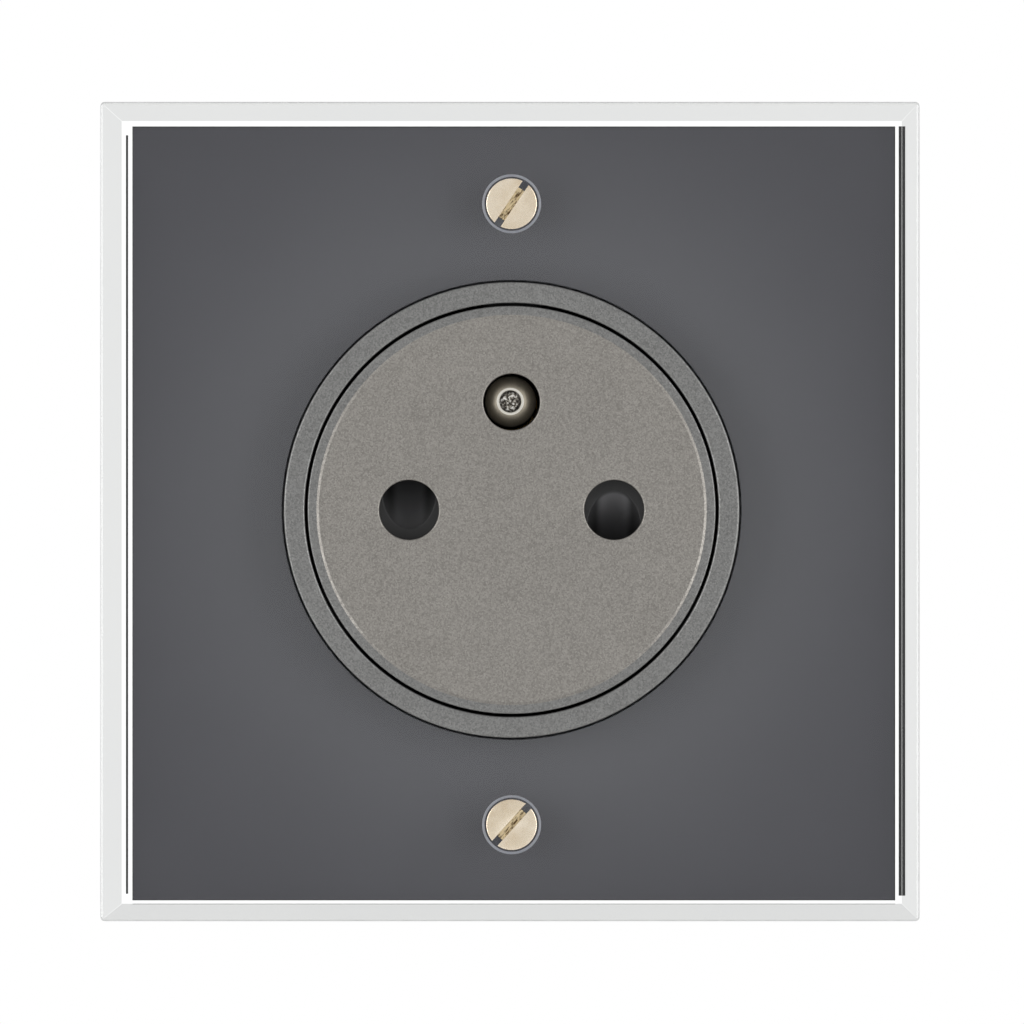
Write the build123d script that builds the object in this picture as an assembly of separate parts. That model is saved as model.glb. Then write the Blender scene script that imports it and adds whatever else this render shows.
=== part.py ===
from build123d import *
import math
import os

# Flush earthed wall socket with a clear bevelled cover plate.
# The front faces -Y, +X is to the right and +Z is up, all in millimetres.
# The origin is on the socket's axis, in the plane of the wall (y = 0).

# Cover plate, a clear slab with a bevelled front edge
plate_side = 75.9
plate_thickness = 3.5
plate_bevel = 2.0
plate_bevel_depth = 0.45
plate_corner_cut = 0.35
plate_shift_x = -0.15
plate_shift_z = -0.15
plate_opening_gap = 0.2

# Backing panel, a dark flat sheet between the plate and the frame
panel_width = 70.6
panel_height = 71.65
panel_thickness = 1.0
panel_shift_x = 0.18
panel_shift_z = -0.35

# Plate screws, countersunk at 90 degrees, and the gaps round screws
plate_screw_pitch = 57.5
plate_screw_shift = -0.4
plate_screw_radius = 1.2
plate_screw_setback = 0.3
plate_head_radius = 2.36
plate_head_edge = 0.25
plate_head_slot_width = 0.68
plate_head_slot_depth = 0.95
plate_slot_angles = (48, 56)
countersink_radius = 2.7
countersink_gap = 0.05
screw_hole_gap = 0.3
thread_gap = 0.05

# Support frame, cast zinc on the wall box, threaded for the plate screws
frame_thickness = 2.0
frame_setback = 1.2
frame_corner_cut = 2.0
frame_recess = 0.5
frame_recess_margin = 2.0
frame_window_gap = 0.3
box_screw_pitch = 60.0
box_slot_length = 5.0
box_slot_width = 3.6
box_pocket_margin = 1.2
box_pocket_depth = 1.2

# Frame clips, steel, sunk in the frame's front and over the edges of the tube's flange
frame_clip_steel = 0.8
frame_clip_width = 8.0
frame_clip_reach = 1.7
frame_clip_gap = 0.1

# Trim ring and face disc
disc_radius = 18.8
disc_gap = 0.36
ring_width = 1.94
ring_proud = 0.3
ring_front_thickness = 1.5
ring_edge = 0.2
ring_overhang = 0.2
disc_sink = 0.1
disc_thickness = 2.2
disc_edge = 0.15
rim_width = 0.74
face_recess = 0.15
leg_count = 3
leg_width = 5.0
leg_length = 6.0
leg_depth = 1.2
leg_reach = 0.8
leg_gap = 0.25
leg_stop_gap = 0.2
bore_gap = 0.05
travel = 14.0

# Pin holes in the disc, and the earth pin
pin_spacing = 19.0
pin_hole_radius = 2.765
pin_hole_edge = 0.15
earth_offset = 10.0
earth_radius = 2.4
earth_hole_gap = 0.22
earth_sink = 0.7
earth_tip_radius = 1.25
earth_dome_length = 1.9
earth_dome_steps = 3
earth_dimple_radius = 0.95
earth_dimple_depth = 0.3
earth_neck_radius = 1.6
earth_rivet_height = 0.3

# Rotary shutter behind the disc
shutter_gap = 0.2
shutter_thickness = 5.4
shutter_margin = 0.435
shutter_hub_radius = 5.6
shutter_thin_angle = 18.5
shutter_thick_angle = 26.0
axle_radius = 2.2
axle_gap = 0.06
ramp_radius = 2.5
ramp_angle = 44.0
ramp_start = 1.8

# Shutter spring, a bowed steel leaf between a slotted post and the left blade
leaf_steel = 0.3
leaf_side_gap = 0.6
leaf_post_radius = 12.0
leaf_post_angle = 290.0
leaf_post_side = 3.2
leaf_slot_gap = 0.1
leaf_bow_radius = 9.3
leaf_bow_angle = 250.0
leaf_touch_radius = 10.5
leaf_touch_gap = 0.05

# Shutter retainer, a plate held on the back of the disc by two snap hooks
retainer_thickness = 1.4
hook_angles = (136, 316)
hook_inset = 3.1
hook_thickness = 1.1
hook_width = 3.2
hook_catch = 0.5
hook_nose = 0.9
hook_gap = 0.1
pin_window_side = 6.4

# Return spring between the disc and the bottom of the well, a coil in short straight steps
spring_wire = 0.9
spring_turns = 3
spring_sides = 20
spring_seat_gap = 0.15
spring_side_gap = 0.5

# Well tube with its flange, and the contact base behind it
well_clearance = 1.4
tube_front_gap = 0.05
flange_margin = 3.1
flange_thickness = 1.6
flange_corner_cut = 4.0
rib_count = 8
rib_thickness = 1.2
rib_reach = 1.5
rib_root = 1.0
partition = 1.6
chamber_margin = 0.1
chamber_corner_cut = 4.2
chamber_wall = 1.8
chamber_depth = 11.1
barrier_offset = 4.1
barrier_thickness = 1.0
barrier_length = 14.5
barrier_clearance = 2.5
wire_entry_width = 5.2
wire_entry_depth = 8.0

# Contacts, folded from brass strip
strip = 0.7
leaf_front_gap = 0.6
leaf_length = 6.9
leaf_lead = 2.8
leaf_width = 5.4
leaf_grip = 2.2
leaf_mouth = 1.0
leaf_heel = 0.75
web_setback = 0.4
flange_reach = 4.1
terminal_step = 2.6
terminal_z = 13.6
terminal_edge = 3.4
seat_post_width = 2.4
seat_post_height = 4.0
earth_strap_width = 6.0
earth_strap_tail = 3.0
earth_terminal_gap = 0.9

# Contact springs, steel clips over the leaves
clip_steel = 0.5
clip_width = 1.8
clip_gap = 0.05
clip_setback = 0.4

# Terminal springs, strips bent to a V, which press a wire against the terminal
terminal_spring_steel = 0.5
terminal_spring_width = 4.4
terminal_spring_length = 5.6
terminal_spring_setback = 1.4
terminal_spring_gap = 0.2
terminal_seat_height = 2.2

# Rear cover, held in the chamber's walls by two snap hooks
cover_thickness = 1.8
cover_edge = 0.6
release_slot_width = 3.6
release_slot_height = 1.4
cover_hook_width = 8.0
cover_hook_thickness = 1.2
cover_hook_depth = 3.0
cover_hook_nose = 1.6
cover_hook_catch = 0.8

# Levels along Y, from the front to the back
panel_back = -frame_thickness
panel_front = panel_back - panel_thickness
clip_front = panel_back + frame_clip_gap
flange_front = -frame_recess
flange_back = flange_front + flange_thickness
plate_front = panel_front - plate_thickness
ring_front = plate_front - ring_proud
ring_back = ring_front + ring_front_thickness
disc_front = ring_front + disc_sink
face_front = disc_front + face_recess
disc_back = disc_front + disc_thickness
shutter_front = disc_back + shutter_gap
shutter_back = shutter_front + shutter_thickness
retainer_front = shutter_back + shutter_gap
retainer_back = retainer_front + retainer_thickness
well_bottom = retainer_back + travel + well_clearance
chamber_front = well_bottom + partition
chamber_back = chamber_front + chamber_depth
cover_back = chamber_back + cover_thickness
leaf_front = chamber_front + leaf_front_gap
leaf_back = leaf_front + leaf_length
terminal_front = leaf_back - strip
terminal_seat = chamber_front + terminal_seat_height
earth_tip = disc_front + earth_sink

# Radii and places worked out from the sizes above
ring_inner_radius = disc_radius + disc_gap
ring_outer_radius = ring_inner_radius + ring_width
plate_opening_radius = ring_outer_radius + plate_opening_gap
bore_radius = ring_inner_radius + bore_gap
tube_radius = ring_outer_radius - ring_overhang
leg_radius = disc_radius + leg_reach
leg_inner_radius = disc_radius - leg_depth
spring_radius = leg_inner_radius - spring_side_gap - spring_wire / 2
retainer_radius = spring_radius - spring_side_gap - spring_wire / 2
hook_radius = retainer_radius - hook_inset
earth_hole_radius = earth_radius + earth_hole_gap
pin_x = pin_spacing / 2
shutter_radius = pin_x + pin_hole_radius + shutter_margin
screw_hole_radius = plate_screw_radius + screw_hole_gap
frame_width = panel_width - 2 * frame_setback
frame_height = panel_height - 2 * frame_setback
flange_side = 2 * (tube_radius + flange_margin)
chamber_side = 2 * (tube_radius + rib_reach + chamber_margin)
chamber_inner_side = chamber_side - 2 * chamber_wall
# A wall of even thickness shortens the cut corner by this much
chamber_inner_cut = chamber_corner_cut - chamber_wall * (2 - math.sqrt(2))
web_x = pin_x + leaf_width / 2
clip_web_x = flange_side / 2 + frame_clip_gap
terminal_x = web_x + terminal_step
earth_terminal_z = chamber_inner_side / 2 - terminal_edge - earth_terminal_gap
terminal_places = (
    (-terminal_x, -terminal_z),
    (terminal_x, -terminal_z),
    (0, earth_terminal_z),
)
plate_screw_heights = (
    plate_screw_shift - plate_screw_pitch / 2,
    plate_screw_shift + plate_screw_pitch / 2,
)


def rod(radius, y0, y1, x=0, z=0):
    """A round bar along Y."""
    return Pos(x, (y0 + y1) / 2, z) * Rot(90, 0, 0) * Cylinder(radius, y1 - y0)


def slab(outline, y0, y1):
    """An outline in X and Z, made solid from y0 to y1."""
    return extrude(Plane.XZ.offset(-y1) * outline, amount=y1 - y0)


def block(x0, x1, y0, y1, z0, z1):
    """A box between two corners."""
    middle = Pos((x0 + x1) / 2, (y0 + y1) / 2, (z0 + z1) / 2)
    return middle * Box(x1 - x0, y1 - y0, z1 - z0)


def turned(points):
    """A closed outline of radius and Y, turned about the Y axis."""
    return revolve(make_face(Polyline(*points, close=True)), axis=Axis.Y)


def cut_square(side, cut):
    """A square outline with its four corners cut off."""
    outline = Rectangle(side, side)
    return chamfer(outline.vertices(), cut)


def around(piece, angle):
    """A piece turned about the socket's axis, counter-clockwise as seen from the front."""
    return Rot(0, -angle, 0) * piece


def countersunk_screw(head_top, head_radius, edge, shank_radius, tip):
    """A countersunk screw blank on the Y axis, its head towards -Y."""
    cone_front = head_top + edge
    return turned(
        [
            (0, head_top),
            (head_radius, head_top),
            (head_radius, cone_front),
            (shank_radius, cone_front + head_radius - shank_radius),
            (shank_radius, tip),
            (0, tip),
        ]
    )


def driver_slot(head_radius, width, y0, y1):
    """The bar that a screwdriver slot takes out of a head."""
    return block(-head_radius, head_radius, y0, y1, -width / 2, width / 2)


def polar(radius, angle):
    """A place in X and Z, its angle counter-clockwise from the right as seen from the front."""
    return radius * math.cos(math.radians(angle)), radius * math.sin(math.radians(angle))


def snap_hook(root_y, catch_y, tip_y, inner, thickness, catch, width):
    """A snap arm on the right, running along Y from its root, with its nib pointing outwards."""
    outer = inner + thickness
    profile = Polyline(
        (inner, root_y),
        (outer, root_y),
        (outer, catch_y),
        (outer + catch, catch_y),
        (outer, tip_y),
        (inner, tip_y),
        close=True,
    )
    return extrude(make_face(profile), amount=width / 2, both=True)


def cover_plate():
    centre = Pos(plate_shift_x, plate_shift_z)
    slab_body = slab(centre * cut_square(plate_side, plate_corner_cut), plate_front, panel_front)
    front_side = plate_side - 2 * plate_bevel
    # The bevels' planes, carried on past the plate's edge to the level of its back
    back_side = front_side + 2 * plate_bevel * plate_thickness / plate_bevel_depth
    bevels = loft(
        [
            Plane.XZ.offset(-plate_front) * centre * Rectangle(front_side, front_side),
            Plane.XZ.offset(-panel_front) * centre * Rectangle(back_side, back_side),
        ]
    )
    plate = slab_body & bevels
    plate -= rod(plate_opening_radius, plate_front, panel_front)
    hole = turned(
        [
            (0, plate_front),
            (countersink_radius, plate_front),
            (screw_hole_radius, plate_front + countersink_radius - screw_hole_radius),
            (screw_hole_radius, panel_front),
            (0, panel_front),
        ]
    )
    for height in plate_screw_heights:
        plate -= Pos(0, 0, height) * hole
    return plate


def backing_panel():
    outline = Pos(panel_shift_x, panel_shift_z) * Rectangle(panel_width, panel_height)
    panel = slab(outline, panel_front, panel_back)
    panel -= rod(plate_opening_radius, panel_front, panel_back)
    for height in plate_screw_heights:
        panel -= rod(screw_hole_radius, panel_front, panel_back, 0, height)
    return panel


def plate_screws():
    cone_front = plate_front + countersink_radius - plate_head_radius - countersink_gap
    head_top = cone_front - plate_head_edge
    blank = countersunk_screw(
        head_top, plate_head_radius, plate_head_edge, plate_screw_radius, -plate_screw_setback
    )
    slot = driver_slot(
        plate_head_radius, plate_head_slot_width, head_top, head_top + plate_head_slot_depth
    )
    screw = blank - slot
    return [
        Pos(0, 0, height) * around(screw, angle)
        for height, angle in zip(plate_screw_heights, plate_slot_angles)
    ]


def right_frame_cuts():
    """The box-screw slot, the pocket for that screw's head, and the clip's seat, on the right."""
    slot_place = Pos(box_screw_pitch / 2, 0)
    cuts = slab(slot_place * SlotOverall(box_slot_length, box_slot_width), panel_back, 0)
    head_pocket = Rectangle(
        box_slot_length + 2 * box_pocket_margin, box_slot_width + 2 * box_pocket_margin
    )
    cuts += slab(slot_place * head_pocket, panel_back, panel_back + box_pocket_depth)
    inner_x = clip_web_x - frame_clip_reach - frame_clip_gap
    outer_x = clip_web_x + frame_clip_steel + frame_clip_gap
    half = frame_clip_width / 2 + frame_clip_gap
    cuts += block(inner_x, outer_x, panel_back, clip_front + frame_clip_steel, -half, half)
    cuts += block(clip_web_x - frame_clip_gap, outer_x, panel_back, 0, -half, half)
    return cuts


def support_frame():
    outline = Rectangle(frame_width, frame_height)
    outline = chamfer(outline.vertices(), frame_corner_cut)
    window_side = 2 * (ring_outer_radius + frame_window_gap)
    # This cut turns a square into a regular octagon
    outline -= cut_square(window_side, window_side * (1 - math.sqrt(0.5)))
    frame = slab(outline, panel_back, 0)
    recess_side = flange_side + 2 * frame_recess_margin
    frame -= slab(Rectangle(recess_side, recess_side), flange_front, 0)
    cuts = right_frame_cuts()
    frame -= cuts
    frame -= mirror(cuts, about=Plane.YZ)
    for height in plate_screw_heights:
        frame -= rod(plate_screw_radius + thread_gap, panel_back, 0, 0, height)
    return frame


def frame_clips():
    half = frame_clip_width / 2
    inner_end = clip_web_x - frame_clip_reach
    clip = block(
        inner_end,
        clip_web_x + frame_clip_steel,
        clip_front,
        flange_back + frame_clip_steel,
        -half,
        half,
    )
    clip -= block(
        inner_end, clip_web_x, clip_front + frame_clip_steel, flange_back, -half, half
    )
    return [clip, mirror(clip, about=Plane.YZ)]


def trim_ring():
    return turned(
        [
            (ring_inner_radius, ring_front + ring_edge),
            (ring_inner_radius + ring_edge, ring_front),
            (ring_outer_radius - ring_edge, ring_front),
            (ring_outer_radius, ring_front + ring_edge),
            (ring_outer_radius, ring_back),
            (ring_inner_radius, ring_back),
        ]
    )


def pin_hole_cutter(radius):
    """The tool for a pin hole with a small bevel at the face."""
    return turned(
        [
            (0, disc_front),
            (radius + pin_hole_edge + face_recess, disc_front),
            (radius, face_front + pin_hole_edge),
            (radius, disc_back),
            (0, disc_back),
        ]
    )


def guide_leg(reach, width, y0, y1):
    """A straight-sided guide leg on the right of the disc."""
    bar = block(leg_inner_radius, reach + leg_reach, y0, y1, -width / 2, width / 2)
    return bar & rod(reach, y0, y1)


def face_disc():
    rim_inner = disc_radius - rim_width
    disc = turned(
        [
            (0, face_front),
            (rim_inner - face_recess, face_front),
            (rim_inner, disc_front),
            (disc_radius - disc_edge, disc_front),
            (disc_radius, disc_front + disc_edge),
            (disc_radius, disc_back),
            (0, disc_back),
        ]
    )
    leg_front = ring_back + leg_stop_gap
    leg = guide_leg(leg_radius, leg_width, leg_front, leg_front + leg_length)
    for k in range(leg_count):
        disc += around(leg, 90 + k * 360 / leg_count)
    disc += rod(axle_radius, disc_back, retainer_front)
    catch_y = retainer_back + hook_gap
    hook = snap_hook(
        disc_back, catch_y, catch_y + hook_nose, hook_radius, hook_thickness, hook_catch, hook_width
    )
    for angle in hook_angles:
        disc += around(hook, angle)
    disc += shutter_spring_post()
    for x in (-pin_x, pin_x):
        disc -= Pos(x, 0, 0) * pin_hole_cutter(pin_hole_radius)
    disc -= Pos(0, 0, earth_offset) * pin_hole_cutter(earth_hole_radius)
    return disc


def shutter_blade_outline(thin_end, thick_end):
    """One blade, a sector of a circle between two angles."""
    start = polar(shutter_radius, thin_end)
    end = polar(shutter_radius, thick_end)
    edges = [
        Line((0, 0), start),
        ThreePointArc(start, (shutter_radius, 0), end),
        Line(end, (0, 0)),
    ]
    return make_face(edges)


def ramp_groove():
    """The inclined half-round groove in the right blade, shallow at its top."""
    slope = math.radians(ramp_angle)
    axis_y = shutter_front - ramp_radius * math.cos(slope)
    axis_z = ramp_start - ramp_radius * math.sin(slope)
    length = 4 * shutter_radius
    # Cylinder's own Z axis laid along the ramp, into the shutter and downwards
    along = Plane(
        origin=(pin_x, axis_y, axis_z),
        x_dir=(1, 0, 0),
        z_dir=(0, math.sin(slope), -math.cos(slope)),
    )
    return along * Cylinder(ramp_radius, length)


def shutter():
    blade = shutter_blade_outline(-shutter_thin_angle, shutter_thick_angle)
    plate = slab(blade, shutter_front, shutter_back) - ramp_groove()
    body = plate + around(plate, 180) + rod(shutter_hub_radius, shutter_front, shutter_back)
    return body - rod(axle_radius + axle_gap, shutter_front, shutter_back)


def shutter_spring_path():
    """The middle line of the shutter's leaf spring, from its post to the left blade's edge."""
    edge_angle = 180 + shutter_thick_angle
    touch = Vector(*polar(leaf_touch_radius, edge_angle))
    off_edge = Vector(*polar(leaf_steel / 2 + leaf_touch_gap, edge_angle + 90))
    return ThreePointArc(
        polar(leaf_post_radius, leaf_post_angle),
        polar(leaf_bow_radius, leaf_bow_angle),
        touch + off_edge,
    )


def shutter_spring():
    leaf = trace(shutter_spring_path(), leaf_steel)
    return slab(leaf, shutter_front + leaf_side_gap, shutter_back - leaf_side_gap)


def shutter_spring_post():
    """The slotted post on the back of the disc that holds one end of the leaf spring."""
    x, z = polar(leaf_post_radius, leaf_post_angle)
    half = leaf_post_side / 2
    post = block(x - half, x + half, disc_back, retainer_front, z - half, z + half)
    slot = trace(shutter_spring_path(), leaf_steel + 2 * leaf_slot_gap)
    return post - slab(slot, shutter_front, retainer_front)


def pin_windows(y0, y1):
    """The two square windows that let a plug's pins through a wall behind the shutter."""
    half = pin_window_side / 2
    window = block(pin_x - half, pin_x + half, y0, y1, -half, half)
    return window + mirror(window, about=Plane.YZ)


def shutter_retainer():
    plate = rod(retainer_radius, retainer_front, retainer_back)
    plate -= pin_windows(retainer_front, retainer_back)
    half = earth_hole_radius
    plate -= block(
        -half, half, retainer_front, retainer_back, earth_offset - half, earth_offset + half
    )
    hook_slot = block(
        hook_radius - hook_catch - hook_gap,
        hook_radius + hook_thickness + hook_gap,
        retainer_front,
        retainer_back,
        -hook_width / 2 - hook_gap,
        hook_width / 2 + hook_gap,
    )
    for angle in hook_angles:
        plate -= around(hook_slot, angle)
    return plate


def return_spring():
    front = disc_back + spring_seat_gap + spring_wire / 2
    back = well_bottom - spring_seat_gap - spring_wire / 2
    steps = spring_turns * spring_sides
    points = []
    for k in range(steps + 1):
        x, z = polar(spring_radius, k * 360 / spring_sides)
        points.append((x, front + (back - front) * k / steps, z))
    path = Polyline(*points)
    section = Plane(origin=path @ 0, z_dir=path % 0, x_dir=(0, 1, 0))
    wire = Rectangle(spring_wire, spring_wire)
    return sweep(section * wire, path=path, transition=Transition.RIGHT)


def well_tube():
    tube_front = ring_back + tube_front_gap
    tube = rod(tube_radius, tube_front, well_bottom)
    tube += slab(cut_square(flange_side, flange_corner_cut), flange_front, flange_back)
    rib = block(
        bore_radius + rib_root,
        tube_radius + rib_reach,
        flange_back,
        well_bottom,
        -rib_thickness / 2,
        rib_thickness / 2,
    )
    for k in range(rib_count):
        tube += around(rib, k * 360 / rib_count)
    tube -= rod(bore_radius, tube_front, well_bottom)
    groove_back = ring_back + leg_stop_gap + leg_length + travel + leg_gap
    groove = guide_leg(leg_radius + leg_gap, leg_width + 2 * leg_gap, tube_front, groove_back)
    for k in range(leg_count):
        tube -= around(groove, 90 + k * 360 / leg_count)
    return tube


def contact_seats():
    """Posts and barriers that stand on the floor of the contact chamber."""
    seats = []
    post_x = web_x + strip + (flange_reach - strip) / 2
    for side in (-1, 1):
        seats.append(
            block(
                side * post_x - seat_post_width / 2,
                side * post_x + seat_post_width / 2,
                chamber_front,
                terminal_front,
                -seat_post_height / 2,
                seat_post_height / 2,
            )
        )
        seats.append(
            block(
                side * barrier_offset - barrier_thickness / 2,
                side * barrier_offset + barrier_thickness / 2,
                chamber_front,
                chamber_back - barrier_clearance,
                -chamber_inner_side / 2,
                barrier_length - chamber_inner_side / 2,
            )
        )
    for x, z in terminal_places:
        seats.append(
            block(
                x - terminal_spring_width / 2,
                x + terminal_spring_width / 2,
                chamber_front,
                terminal_seat,
                z - terminal_spring_length / 2,
                z + terminal_spring_length / 2,
            )
        )
    return seats


def contact_base():
    base = slab(cut_square(chamber_side, chamber_corner_cut), well_bottom, chamber_back)
    base -= slab(cut_square(chamber_inner_side, chamber_inner_cut), chamber_front, chamber_back)
    for seat in contact_seats():
        base += seat
    base -= pin_windows(well_bottom, chamber_front)
    base -= rod(earth_radius + thread_gap, well_bottom, chamber_front, 0, earth_offset)
    catch_y = chamber_back - cover_hook_depth
    catch_window = block(
        chamber_inner_side / 2,
        chamber_side / 2,
        catch_y - cover_hook_nose - hook_gap,
        catch_y + hook_gap,
        -cover_hook_width / 2 - hook_gap,
        cover_hook_width / 2 + hook_gap,
    )
    base -= catch_window + mirror(catch_window, about=Plane.YZ)
    for x, z in terminal_places:
        outward = math.copysign(1, z)
        wall_z = sorted((outward * chamber_inner_side / 2, outward * chamber_side / 2))
        base -= block(
            x - wire_entry_width / 2,
            x + wire_entry_width / 2,
            chamber_back - wire_entry_depth,
            chamber_back,
            *wall_z,
        )
    return base


def earth_pin():
    neck_back = chamber_front + strip + earth_rivet_height
    outline = [(0, earth_tip + earth_dimple_depth), (earth_dimple_radius, earth_tip)]
    # The rounded end is a quarter of an ellipse in a few flat steps
    for k in range(earth_dome_steps + 1):
        angle = math.pi / 2 * k / earth_dome_steps
        radius = earth_tip_radius + (earth_radius - earth_tip_radius) * math.sin(angle)
        outline.append((radius, earth_tip + earth_dome_length * (1 - math.cos(angle))))
    outline += [
        (earth_radius, chamber_front),
        (earth_neck_radius, chamber_front),
        (earth_neck_radius, neck_back),
        (0, neck_back),
    ]
    return Pos(0, 0, earth_offset) * turned(outline)


def earth_strap():
    step_z = earth_terminal_z - terminal_spring_length / 2 - terminal_spring_gap
    half = earth_strap_width / 2
    strap = block(
        -half, half, chamber_front, chamber_front + strip, earth_offset - earth_strap_tail, step_z
    )
    strap += block(-half, half, chamber_front, leaf_back, step_z - strip, step_z)
    strap += block(
        -half, half, terminal_front, leaf_back, step_z - strip, earth_terminal_z + terminal_edge
    )
    rivet_back = chamber_front + strip + earth_rivet_height
    return strap - rod(
        earth_neck_radius + thread_gap, chamber_front, rivet_back, 0, earth_offset
    )


def right_contact():
    """The contact on the right: two gripping leaves, a web and the terminal flange."""
    grip_y = leaf_front + leaf_lead
    leaf_outline = Polyline(
        (leaf_front, leaf_grip + leaf_mouth),
        (grip_y, leaf_grip),
        (leaf_back, leaf_grip + leaf_heel),
        (leaf_back, leaf_grip + leaf_heel + strip),
        (grip_y, leaf_grip + strip),
        (leaf_front, leaf_grip + leaf_mouth + strip),
        close=True,
    )
    leaf_x = pin_x - leaf_width / 2
    leaf = extrude(Plane.YZ.offset(leaf_x) * make_face(leaf_outline), amount=leaf_width + strip)
    web_half = leaf_grip + leaf_mouth + strip
    contact = leaf + mirror(leaf, about=Plane.XY)
    contact += block(
        web_x, web_x + strip, leaf_front + web_setback, leaf_back, -web_half, web_half
    )
    contact += block(
        web_x,
        web_x + strip + flange_reach,
        terminal_front,
        leaf_back,
        -terminal_z - terminal_edge,
        web_half,
    )
    return contact


def line_contact():
    return right_contact()


def neutral_contact():
    return mirror(right_contact(), about=Plane.YZ)


def contact_springs():
    # The leaf is bent where the clip holds it, so the clip stands off by the rise at its edge
    edge_rise = leaf_mouth * clip_width / 2 / leaf_lead
    arm_inner = leaf_grip + strip + edge_rise + clip_gap
    arm_outer = arm_inner + clip_steel
    spine_x = pin_x - leaf_width / 2 - clip_gap - clip_steel
    arm_end = web_x - clip_setback
    middle = leaf_front + leaf_lead
    y0 = middle - clip_width / 2
    y1 = middle + clip_width / 2
    clip = block(spine_x, arm_end, y0, y1, -arm_outer, arm_outer)
    clip -= block(spine_x + clip_steel, arm_end, y0, y1, -arm_inner, arm_inner)
    return [clip, mirror(clip, about=Plane.YZ)]


def terminal_springs():
    springs = []
    inner = -terminal_spring_length / 2
    outer = terminal_spring_length / 2
    tip = outer - terminal_spring_setback
    tip_y = terminal_front - terminal_spring_gap
    rise = terminal_spring_steel / (tip_y - terminal_seat)
    # One V of strip: a leg on the seat, and a slanting leg whose end grips the wire
    outline = Polyline(
        (terminal_seat, outer),
        (terminal_seat, inner),
        (tip_y, tip),
        (tip_y, tip + terminal_spring_steel),
        (
            terminal_seat + terminal_spring_steel,
            inner + (tip - inner) * rise + terminal_spring_steel,
        ),
        (terminal_seat + terminal_spring_steel, outer),
        close=True,
    )
    spring = extrude(Plane.YZ * make_face(outline), amount=terminal_spring_width / 2, both=True)
    for x, z in terminal_places:
        turned_out = spring if z > 0 else mirror(spring, about=Plane.XY)
        springs.append(Pos(x, 0, z) * turned_out)
    return springs


def rear_cover():
    cover = slab(cut_square(chamber_side, chamber_corner_cut), chamber_back, cover_back)
    cover = chamfer(cover.faces().sort_by(Axis.Y)[-1].edges(), cover_edge)
    for x, z in terminal_places:
        cover -= block(
            x - release_slot_width / 2,
            x + release_slot_width / 2,
            chamber_back,
            cover_back,
            z - release_slot_height / 2,
            z + release_slot_height / 2,
        )
    catch_y = chamber_back - cover_hook_depth
    hook = snap_hook(
        chamber_back,
        catch_y,
        catch_y - cover_hook_nose,
        chamber_inner_side / 2 - hook_gap - cover_hook_thickness,
        cover_hook_thickness,
        cover_hook_catch + hook_gap,
        cover_hook_width,
    )
    return cover + hook + mirror(hook, about=Plane.YZ)


PIECES = (
    cover_plate,
    backing_panel,
    plate_screws,
    support_frame,
    frame_clips,
    trim_ring,
    face_disc,
    shutter,
    shutter_spring,
    shutter_retainer,
    return_spring,
    well_tube,
    contact_base,
    earth_pin,
    earth_strap,
    line_contact,
    neutral_contact,
    contact_springs,
    terminal_springs,
    rear_cover,
)


def main():
    os.makedirs("parts", exist_ok=True)
    for make in PIECES:
        piece = make()
        if isinstance(piece, list):
            piece = Compound(children=piece)
        export_step(piece, f"parts/{make.__name__}.step")
        print(make.__name__, round(piece.volume, 2))


if __name__ == "__main__":
    main()
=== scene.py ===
import logging
import math
from dataclasses import dataclass
from enum import Enum
from functools import partial
from typing import Any, Mapping, Sequence

import bmesh
import bpy
from bpy.types import Material, Node, NodeSocket, NodeTree, Object
from mathutils import Matrix, Vector, noise


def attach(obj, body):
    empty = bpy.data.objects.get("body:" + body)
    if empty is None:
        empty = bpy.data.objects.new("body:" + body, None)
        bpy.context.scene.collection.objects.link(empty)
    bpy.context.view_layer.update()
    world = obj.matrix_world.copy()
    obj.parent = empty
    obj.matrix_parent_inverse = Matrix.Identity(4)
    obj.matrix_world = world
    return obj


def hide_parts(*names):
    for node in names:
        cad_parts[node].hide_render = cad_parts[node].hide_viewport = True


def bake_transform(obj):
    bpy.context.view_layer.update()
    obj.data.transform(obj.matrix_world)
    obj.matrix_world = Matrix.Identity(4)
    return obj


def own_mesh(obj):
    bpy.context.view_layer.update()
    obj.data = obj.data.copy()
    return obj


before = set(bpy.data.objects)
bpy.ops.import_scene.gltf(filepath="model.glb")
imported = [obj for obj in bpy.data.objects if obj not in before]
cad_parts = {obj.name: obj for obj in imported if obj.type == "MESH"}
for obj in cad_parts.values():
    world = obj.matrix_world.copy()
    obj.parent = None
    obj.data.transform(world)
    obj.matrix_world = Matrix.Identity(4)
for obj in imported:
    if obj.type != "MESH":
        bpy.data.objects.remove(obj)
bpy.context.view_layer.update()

# Looks of a flush earthed wall socket: a clear bevelled plate over a dark panel, with a round
# metallic insert. Sizes are in millimetres and meshes in metres. The front faces -Y.

MM = 0.001
LOG = logging.getLogger("socket")

# Steps round large rings, small turned pieces and thin rods
LARGE_TURNS = 256
SMALL_TURNS = 96
THIN_TURNS = 64
# Steps along a wound wire, and round it
WIRE_STEPS = 64
WIRE_SIDES = 14
# Edges flatter than these are shaded smooth, in degrees: on most pieces, rounded copies and wires
SMOOTH = 32.0
COPY_SMOOTH = 30.0
WIRE_SMOOTH = 40.0
# Faces of a CAD node are one face below this angle in degrees, and its rounded edges are this full
FLAT_ANGLE = 0.5
EDGE_FULLNESS = 0.6
# How far a cutting tool reaches past what it cuts
OVERSHOOT = 1.0
# A smaller radius is on the axis
ON_AXIS = 1e-6
# Points as close as this are one point, in millimetres and for a CAD node in metres
SAME_POINT = 1e-5
SAME_CAD_POINT = 1e-6
# Values of a grain between which the tone and the roughness change
TONE_SPAN = (0.3, 0.7)
GLOSS_SPAN = (0.25, 0.75)
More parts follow.
